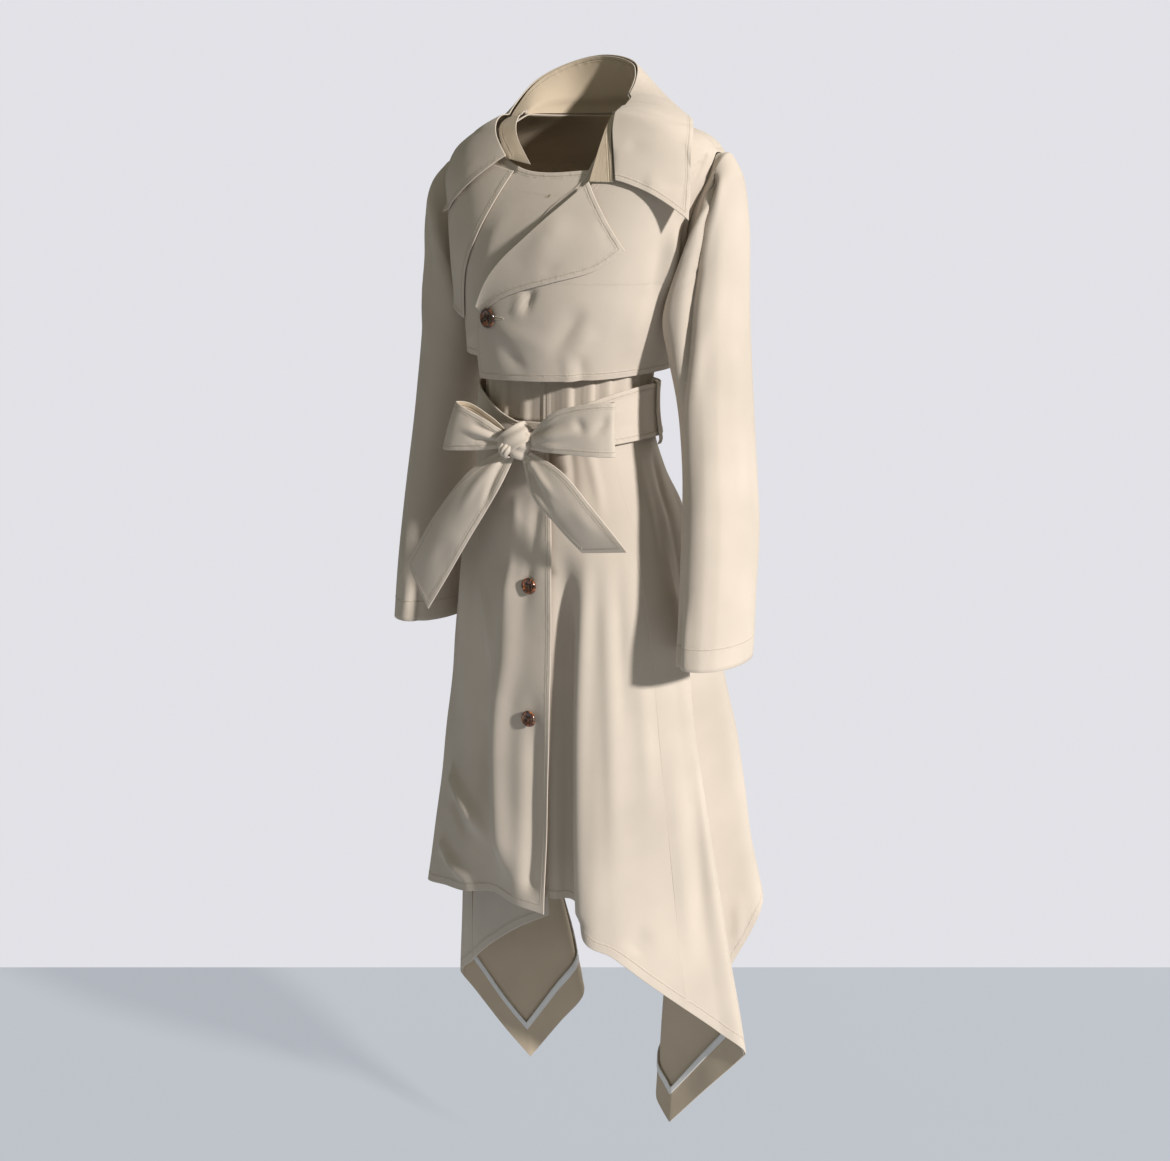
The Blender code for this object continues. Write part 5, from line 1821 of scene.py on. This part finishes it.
@dataclass
class Skirt:
    """The long skirt: five panels, the level overlay, and the faced and taped hems of both corners."""

    side_columns: int = 140
    rows: int = 138
    side_rows: int = 160

    def panels(self) -> list[SkirtPanel]:
        """The panels, from the wearer's left front round the back to the overlay."""
        hem = sewn(Edge.LAST_ROW, inset=SKIRT_HEM)
        placket = {Edge.LAST_ROW: SKIRT_HEM, Edge.LAST_COLUMN: TOPSTITCH}
        belt = ["bodice_front"]
        return [
            SkirtPanel(
                "skirt_front_left", LEFT_FRONT_FOLDS, 64, self.rows, 0.0, (0.25, 0.7), 0.118, hem, belt,
                LEFT_FRONT_CREASES, 31,
            ),
            SkirtPanel(
                "skirt_side_left", LEFT_SIDE_FOLDS, self.side_columns, self.side_rows, 0.0, (0.62, 0.95),
                0.212, hem, belt, LEFT_SIDE_CREASES, 32,
            ),
            SkirtPanel(
                "skirt_back", BACK_FOLDS, 84, self.rows, 0.0, (0.34, 0.66), 0.165, hem, ["bodice_back"],
                SKIRT_BACK_CREASES, 33,
            ),
            SkirtPanel(
                "skirt_side_right", RIGHT_SIDE_FOLDS, self.side_columns, self.side_rows, 0.0, (0.62, 0.93),
                0.205, hem, belt, RIGHT_SIDE_CREASES, 34,
            ),
            SkirtPanel(
                "skirt_front_right", RIGHT_FRONT_FOLDS, 46, self.rows, -0.0045, (0.24, 0.76), 0.12, placket,
                belt, (), 35,
            ),
            SkirtPanel(
                "skirt_overlay_right", OVERLAY_FOLDS, 84, self.rows, 0.0052, (0.32, 0.63), 0.16,
                {**placket, Edge.FIRST_COLUMN: TOPSTITCH}, belt, OVERLAY_CREASES, 36,
            ),
        ]

    def build_hem(self, side: str, grid: ClothGrid, hem: Array) -> None:
        """Facing and binding tape inside a corner's hem.

        Args:
            side: The wearer's left or right.
            grid: The side panel.
            hem: Height of its hem in each column.
        """
        inset = FACING_GAP + FACING_WALL
        facing = strip_inside(grid, hem, 0.0008, FACING_RISE, inset, 14)
        rests_on = ["skirt_side_" + side]
        ClothPiece(
            "hem_facing_" + side, facing, (0.68, 0.04), Hold.FOLDED, rests_on, wall=FACING_WALL, area=0.026,
        ).build()
        inset = inset + 0.0005 + TAPE_WALL
        tape = strip_inside(grid, hem, FACING_RISE - TAPE_RISE, FACING_RISE, inset, 5)
        ClothPiece(
            "hem_tape_" + side, tape, (0.66, 0.01), Hold.FOLDED, ["hem_facing_" + side],
            sewn(Edge.FIRST_ROW, Edge.LAST_ROW, inset=0.0016), wall=TAPE_WALL, area=0.0062, outside=TAPE,
            inside=TAPE, thread=WHITE_THREAD,
        ).build()

    def build(self) -> None:
        """Makes every panel, and the hems of the side panels."""
        for panel in self.panels():
            grid, hem = panel.build()
            if panel.node.startswith("skirt_side_"):
                self.build_hem(panel.node.removeprefix("skirt_side_"), grid, hem)


# --- belt and bow
def ribbon(table: Table, rows: int, columns: int, belly: float) -> Array:
    """Strip of belt cloth along a table's line, its middle pushed out by belly for a soft fold.

    Args:
        table: Centre line, and half of the width sideways and upward.
        rows: Steps along.
        columns: Steps across.
        belly: Greatest distance of the middle.

    Returns:
        Its inner surface.
    """
    along = spread(rows, 0.004)[:, None]
    share = 2 * spread(columns, 0.012)[None, :] - 1
    x = table.at(along, "x") + table.at(along, "half_x") * share
    z = table.at(along, "z") + table.at(along, "half_z") * share
    y = table.at(along, "y") - belly * np.sin(math.pi * along) * (1 - share**2)
    return np.stack(np.broadcast_arrays(x, y, z), -1)


LOOP_LEFT_CREASES = crease_rows(
    (20, -144, -316, 56, -152, -306, 98, -148, -296, 7, 3.4, 0.2, 0.1, 0.6),
    (20, -144, -312, 50, -150, -294, 80, -148, -284, 6, -2.6, 0, 0.1, 0.6),
    (80, -148, -282, 90, -148, -292, 94, -146, -306, 9.5, -2.6, 0, 0.5, 0.5),
    (100, -142, -308, 110, -139, -294, 124, -136, -278, 9, -3, 0, 0.5, 0.4),
    (20, -144, -320, 50, -150, -320, 90, -146, -318, 6, 2.2, 0, 0.1, 0.6),
)
LOOP_RIGHT_CREASES = crease_rows(
    (-76, -152, -309, -52, -154, -308, -20, -144, -318, 6, 3.4, 0.2, 0.5, 0.1),
    (-60, -152, -300, -44, -152, -306, -20, -144, -316, 5, -2.6, 0, 0.5, 0.1),
    (-66, -152, -320, -44, -152, -319, -20, -144, -321, 5, -2.6, 0, 0.5, 0.1),
)
TAIL_RIGHT_CREASES = crease_rows(
    (-16, -146, -336, -34, -152, -372, -46, -154, -416, 6, -3.6, 0.3, 0.1, 0.5),
    (-18, -146, -340, -56, -152, -372, -80, -152, -420, 8, 3, 0, 0.1, 0.6),
    (-84, -150, -440, -104, -148, -460, -124, -146, -490, 14, -1.4, 0, 0.5, 0.5),
)
TAIL_LEFT_CREASES = crease_rows(
    (16, -144, -340, 36, -150, -356, 64, -148, -384, 6, 3.2, 0.2, 0.1, 0.6),
    (18, -144, -348, 34, -148, -372, 56, -146, -400, 6, -2.6, 0, 0.1, 0.6),
    (70, -146, -380, 92, -142, -400, 112, -138, -420, 12, 1.4, 0, 0.5, 0.5),
)
BELT_CREASES = crease_rows(
    (100, -72, -280, 86, -92, -288, 60, -108, -300, 7, 2.2, 0, 0.4, 0.2),
    (108, -52, -300, 92, -84, -304, 64, -106, -310, 6, -2, 0, 0.4, 0.2),
    (-104, -66, -282, -88, -90, -290, -60, -108, -302, 7, 2.2, 0, 0.4, 0.2),
    (-110, -50, -298, -94, -82, -304, -64, -106, -312, 6, -2, 0, 0.4, 0.2),
)


@dataclass
class Belt:
    """The self belt with its carriers, tied in front in a bow. Its numbers are steps."""

    around: int = 200
    up: int = 18

    def build_band(self) -> None:
        """The band round the waist, narrower where the bow gathers it."""
        angle = turns(self.around)
        fold = np.degrees(np.abs((angle + math.pi) % (FULL_TURN) - math.pi))
        share = 2 * spread(self.up, 0.012)[:, None] - 1
        half = BELT_DIP.at(fold, "half")
        height = BELT_DIP.at(fold, "middle") + half * share
        crumpled = 1 - ease((half - 0.015) / 0.014)
        lift = BELT_LIFT + 0.0012 * crumpled * np.sin(5.2 * share + 0.12 * fold)
        grid = ClothGrid(body(angle, height, lift), closed=True).creased(BELT_CREASES)
        ClothPiece(
            "belt_band", grid, (0.72, 0.06), Hold.STRETCHED, ["belt_carrier_left", "belt_carrier_right"],
            sewn(Edge.FIRST_ROW, Edge.LAST_ROW), wall=BELT_WALL,
        ).build()

    def build_carriers(self) -> None:
        """Narrow strips over the belt just behind both side seams, straight between their bends."""
        keys = CARRIER.keys()
        height = keys[0] + (keys[-1] - keys[0]) * spread(40)
        span = np.clip(np.searchsorted(keys, height, "right") - 1, 0, len(keys) - 2)
        share = ((height - keys[span]) / (keys[span + 1] - keys[span]))[:, None, None]
        for node, side in (("belt_carrier_left", 1), ("belt_carrier_right", -1)):
            angle = side * CARRIER_PLACE + np.radians(2.6 * (2 * spread(6, 0.04)[None, :] - 1))
            bends = body(angle, keys[:, None], CARRIER.at(keys[:, None], "lift"))
            ClothPiece(
                node, ClothGrid(bends[span] + (bends[span + 1] - bends[span]) * share), (0.012, 0.09),
                Hold.STRETCHED, ["bodice_front"], sewn(Edge.FIRST_COLUMN, Edge.LAST_COLUMN, inset=0.002),
            ).build()

    def build_bow(self) -> None:
        """Two loops and two tails."""
        sides = sewn(Edge.FIRST_COLUMN, Edge.LAST_COLUMN)
        around = {**sides, Edge.LAST_ROW: TOPSTITCH}
        for node, table, rows, columns, belly, creases, flipped, flat, area, seams in (
            (
                "bow_loop_right", LOOP_RIGHT, 80, 20, 0.002, LOOP_RIGHT_CREASES, False, (0.17, 0.056),
                0.0072, sides,
            ),
            ("bow_loop_left", LOOP_LEFT, 96, 22, 0.002, LOOP_LEFT_CREASES, True, (0.23, 0.06), 0.01, sides),
            (
                "bow_tail_right", TAIL_RIGHT, 72, 20, 0.006, TAIL_RIGHT_CREASES, True, (0.24, 0.056),
                0.0105, around,
            ),
            (
                "bow_tail_left", TAIL_LEFT, 60, 22, 0.004, TAIL_LEFT_CREASES, True, (0.16, 0.06), 0.007,
                around,
            ),
        ):
            grid = ClothGrid(ribbon(table, rows, columns, belly), flipped=flipped).creased(creases)
            ClothPiece(node, grid, flat, Hold.FOLDED, ["belt_knot"], seams, wall=0.0017, area=area).build()

    def build_knot(self) -> None:
        """The knot: a squashed core, a wide wrap that rises to the wearer's left, and a small curl.

        Each is an oval ring round its own axis, swelling in the middle of its width and creased
        along its length by a sine over that width.
        """
        turn = turns(72)
        across = np.linspace(-1, 1, 25)[:, None]
        for label, place, tilt, long_half, deep_half, wide_half, swell, folds, phase, flat, area in (
            (
                "core", (0.002, 0.0005, -0.0005), -20, 0.015, 0.013, 0.017, 0.004, 7.0, 0.4,
                (0.1, 0.034), 0.003,
            ),
            (
                "wrap", (-0.004, -0.001, 0.002), 34, 0.0225, 0.015, 0.0118, 0.0022, 6.0, 1.2,
                (0.13, 0.034), 0.004,
            ),
            (
                "curl", (-0.0085, -0.011, -0.0085), 62, 0.0082, 0.0075, 0.0062, 0.0014, 8.0, 0.2,
                (0.06, 0.016), 0.00085,
            ),
        ):
            lean = math.radians(tilt)
            run = np.array([math.cos(lean), 0, math.sin(lean)])
            axis = np.array([-math.sin(lean), 0, math.cos(lean)])
            ahead = np.array([0, -1.0, 0])
            ripple = 0.0009 * np.sin(folds * across + phase + 0.6 * np.sin(2 * turn))
            full = swell * (1 - across**2) + ripple - swell
            side = np.cos(turn) * (long_half + full)
            front = np.sin(turn) * (deep_half + full)
            points = side[..., None] * run + front[..., None] * ahead + across[..., None] * wide_half * axis
            grid = ClothGrid(points + np.array(KNOT_PLACE) + np.array(place), closed=True, flipped=True)
            item = sheet_mesh("belt_knot_" + label, grid, 0.0014, (TWILL, TWILL_INSIDE_THROUGH_LIT), {})
            put_on(item)
            if label == "core":
                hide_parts("belt_knot")

    def build(self) -> None:
        """Makes the belt and its bow."""
        self.build_band()
        self.build_carriers()
        self.build_bow()
        self.build_knot()


# --- buttons
@dataclass
class Button:
    """A horn button with four holes, a dished face and a rounded rim, sewn on with crossed thread.

    Attributes:
        place: Middle of its back.
        facing: Its turn in radians.
        around: Columns round it.
        out: Steps from the middle to the rim.
        hole_place: Distance of a hole from both middle lines, as a share of the diameter.
        hole_size: Radius of a hole, as a share of the diameter.
    """

    node: str
    place: Point
    facing: tuple[float, float, float]
    diameter: float
    around: int = 72
    out: int = 44
    hole_place: float = 0.115
    hole_size: float = 0.046

    def face(self) -> tuple[Array, Array]:
        """Turned body with pits for holes.

        The height follows a smooth profile over the radius. Each hole lowers it by an eased bell
        round its own place, down to just above the back.

        Returns:
            Points and quads, with a fan of quads that closes both middles.
        """
        radius = self.diameter / 2
        profile = Table(
            "share height",
            (0, 2.4), (0.48, 2.4), (0.62, 2.9), (0.74, 3.7), (0.86, 3.8), (0.95, 3.1), (1, 2),
        )
        turn = turns(self.around)
        share = np.linspace(0.004, 1, self.out)[:, None]
        x, y = share * radius * np.cos(turn), share * radius * np.sin(turn)
        top = profile.at(share, "height") + 0 * x
        hole = self.diameter * self.hole_place
        for side_x in (-1, 1):
            for side_y in (-1, 1):
                gap = np.hypot(x - side_x * hole, y - side_y * hole)
                pit = ease((gap - self.diameter * self.hole_size) / 0.0005)
                top = np.minimum(top, 0.0007 + 0.003 * pit)
        under_share = np.array([1.0, 0.97, 0.9, 0.5, 0.004])[:, None]
        under_x, under_y = under_share * radius * np.cos(turn), under_share * radius * np.sin(turn)
        under = np.array([0.0014, 0.0007, 0.0002, 0.0, 0.0])[:, None] + 0 * under_x
        points = np.concatenate([np.stack([x, y, top], -1), np.stack([under_x, under_y, under], -1)])
        rows = len(points)
        quads = grid_quads(rows, self.around, True)[:, [0, 3, 2, 1]]
        half = self.around // 2
        step = np.arange(half - 1)
        cap = np.stack([step, step + 1, self.around - 2 - step, self.around - 1 - step], -1)
        last = (rows - 1) * self.around
        return points.reshape(-1, 3), np.concatenate([quads, cap, (last + cap)[:, ::-1]])

    def thread(self) -> tuple[Array, Array]:
        """Two crossed bundles of three strands: tubes that arch from hole to opposite hole."""
        hole = self.diameter * self.hole_place
        sides, stations = 6, 9
        turn = turns(sides)
        share = np.linspace(-1, 1, stations)[:, None]
        quads = grid_quads(stations, sides, True)[:, [1, 2, 3, 0]]
        up = np.array([0, 0, 1.0])
        parts = []
        for bundle, angle in enumerate((45, -45)):
            way = np.array([math.cos(math.radians(angle)), math.sin(math.radians(angle)), 0])
            aside = np.array([-way[1], way[0], 0])
            for strand in (-1, 0, 1):
                reach = hole * math.sqrt(2) * share
                height = 0.003 + 0.0003 * bundle - 0.002 * share**6 + 0.0001 * (strand == 0)
                centre = reach[..., None] * way + strand * 0.00034 * aside + height[..., None] * up
                ring = 0.00021 * (np.cos(turn)[..., None] * aside + np.sin(turn)[..., None] * up)
                parts.append(((centre + ring).reshape(-1, 3), quads))
        return joined(parts)

    def build(self) -> None:
        """Makes the button and its thread."""
        turn = np.array(Euler(self.facing).to_matrix()).T
        parts = (("_horn", self.face(), SHELL), ("_thread", self.thread(), BROWN_THREAD))
        for label, (points, faces), material in parts:
            item = build_mesh(
                self.node + label, points @ turn + np.array(self.place), faces, None, [material],
            )
            put_on(item)
            if material is SHELL:
                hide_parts(self.node)


@dataclass
class Buttonhole:
    """A worked slit: close stitches across an oval line on the cloth.

    Attributes:
        centre: Middle of the slit on the cloth.
        way: Direction of the slit.
        outward: Direction out of the cloth.
    """

    name: str
    node: str
    centre: Point
    way: Point
    outward: Point
    length: float
    pitch: float = 0.00042
    half_width: float = 0.0011

    def build(self) -> None:
        """Makes the stitches: the usual ones, laid close together across an oval."""
        way, outward = unit(np.array(self.way)), np.array(self.outward)
        outward = unit(outward - (outward @ way) * way)
        aside = np.cross(outward, way)
        count = int(2 * self.length / self.pitch)
        turn = np.linspace(0, FULL_TURN, count, endpoint=False)[:, None]
        ring = np.cos(turn) * way * self.length / 2 + np.sin(turn) * aside * self.half_width
        ring = ring + np.array(self.centre)
        across = unit(np.cos(turn) * way * 0.25 + np.sin(turn) * aside)
        shape, quads = stitch_template()
        outwards = outward + 0 * across
        parts = laid(
            ring, across, np.cross(outwards, across), outwards, shape * np.array([0.62, 0.9, 1.0]), quads,
        )
        put_on(build_mesh(self.name, *parts, None, [THREAD]))


def build_buttons() -> None:
    """The three buttons, and the two worked holes that show."""
    chest = on_chest(np.array(-0.04), np.array(-0.1805), FRONT_LAP + CLOTH + 0.0014)
    facing = (math.radians(90), 0.0, math.radians(-12))
    Button("button_jacket", tuple(chest), facing, JACKET_BUTTON).build()
    for node, height, front in (
        ("button_skirt_upper", -0.492, -0.1262), ("button_skirt_lower", -0.655, -0.129),
    ):
        Button(node, (0.004, front, height), (math.radians(90), 0.0, 0.0), SKIRT_BUTTON).build()
    hole = on_chest(np.array(-0.0285), np.array(-0.18), FRONT_LAP + CLOTH + 0.0001)
    Buttonhole(
        "buttonhole_jacket", "jacket_front_left", tuple(hole), (1.0, -0.12, 0.0), (-0.15, -1.0, 0.0), 0.022,
    ).build()
    hole = on_chest(np.array(0.02), np.array(-0.046), CLOTH + 0.0001)
    Buttonhole(
        "buttonhole_neck", "jacket_front_right", tuple(hole), (1.0, 0.1, 0.55), (0.1, -1.0, 0.3), 0.012,
    ).build()


# --- studio
@dataclass
class Studio:
    """Plain pale floor, a low sun from the wearer's left, a soft pale fill, and the camera.

    Attributes:
        floor_far: Reach of the floor behind the coat.
        heading: Direction in which the camera looks, in degrees from the coat's own.
        sun_azimuth: Direction of the sun round the coat, in degrees from the front.
    """

    floor_height: float = -1.42
    floor_far: float = 0.786
    floor_reach: float = 3.0
    heading: float = 33.0
    sun_azimuth: float = 80.0
    sun_elevation: float = 22.0
    sun_energy: float = 4.35
    camera_place: Point = (1.1437, -1.7612, 0.0)
    camera_tilt: float = 76.3
    lens: float = 53.69

    def build_floor(self) -> None:
        """A plain sheet squared to the camera's heading. Its far edge is where a wall would stand."""
        heading = math.radians(self.heading)
        ahead = np.array([-math.sin(heading), math.cos(heading), 0.0])
        right = np.array([math.cos(heading), math.sin(heading), 0.0])
        along = np.linspace(-self.floor_reach, self.floor_far, 21)[:, None, None]
        across = np.linspace(-self.floor_reach, self.floor_reach, 31)[None, :, None]
        points = along * ahead + across * right + np.array([0, 0, self.floor_height])
        faces = grid_quads(21, 31, False)
        material, kit, shader = new_material("pale_floor")
        tone = kit.blend(kit.noise(kit.place(), 3.0, 3.0), (0.14, 0.145, 0.16, 1), (0.15, 0.155, 0.17, 1))
        kit.fill(
            shader, Base_Color=tone, Roughness=0.8, Emission_Color=(0.7, 0.76, 0.84, 1),
            Emission_Strength=0.52,
        )
        build_mesh("studio_floor", points.reshape(-1, 3), faces, None, [material])

    def build_sun(
        self, name: str, azimuth: float, elevation: float, energy: float, spread_angle: float,
    ) -> None:
        """A sun lamp.

        Args:
            name: Its name.
            azimuth: Degrees round the coat from the front.
            elevation: Degrees over the horizon.
            energy: Its strength.
            spread_angle: Degrees that it spans: a wide one is soft.
        """
        data = bpy.data.lights.new(name, "SUN")
        data.energy = energy
        data.angle = math.radians(spread_angle)
        data.color = (1.0, 0.965, 0.93)
        sun = linked(name, data)
        turn, lift = math.radians(azimuth), math.radians(elevation)
        way = Vector((math.sin(turn) * math.cos(lift), -math.cos(turn) * math.cos(lift), math.sin(lift)))
        sun.rotation_euler = way.to_track_quat("Z", "Y").to_euler()

    def build_light(self) -> None:
        """The low sun, a soft light from behind, and a fill that the camera doesn't see."""
        self.build_sun("sun", self.sun_azimuth, self.sun_elevation, self.sun_energy, 4)
        self.build_sun("light_behind", 168.0, 32.0, 1.1, 50)
        world = bpy.data.worlds.new("studio")
        world.use_nodes = True
        bpy.context.scene.world = world
        kit = NodeTree(world.node_tree)
        seen = kit.add("ShaderNodeBackground", Color=(0.76, 0.76, 0.8, 1), Strength=1.0)
        fill = kit.fill(kit.tree.nodes["Background"], Color=(1.0, 0.99, 0.84, 1), Strength=0.235)
        seen_first = kit.add("ShaderNodeLightPath").outputs["Is Camera Ray"]
        mixed = kit.first("ShaderNodeMixShader", seen_first, fill.outputs[0], seen.outputs[0])
        kit.feed(mixed, kit.tree.nodes["World Output"].inputs[0])

    def build_camera(self) -> None:
        """The camera, in front and to the wearer's left, a little above the waist."""
        data = bpy.data.cameras.new("camera")
        data.lens = self.lens
        data.sensor_width = 36
        camera = linked("camera", data)
        camera.location = self.camera_place
        camera.rotation_euler = (math.radians(self.camera_tilt), 0, math.radians(self.heading))
        bpy.context.scene.camera = camera
        bpy.context.scene.view_settings.view_transform = "Standard"

    def build(self) -> None:
        """Makes the floor, the light and the camera."""
        self.build_floor()
        self.build_light()
        self.build_camera()


# --- all of it
def main() -> None:
    """Builds the coat and the studio."""
    logging.basicConfig(level=logging.INFO, format="%(name)s: %(message)s")
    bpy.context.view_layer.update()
    Jacket().build()
    Collar().build()
    Sleeve("sleeve_left", 1).build()
    Sleeve("sleeve_right", -1).build()
    Bodice().build()
    Skirt().build()
    Belt().build()
    build_buttons()
    Studio().build()


if __name__ == "__main__":
    main()
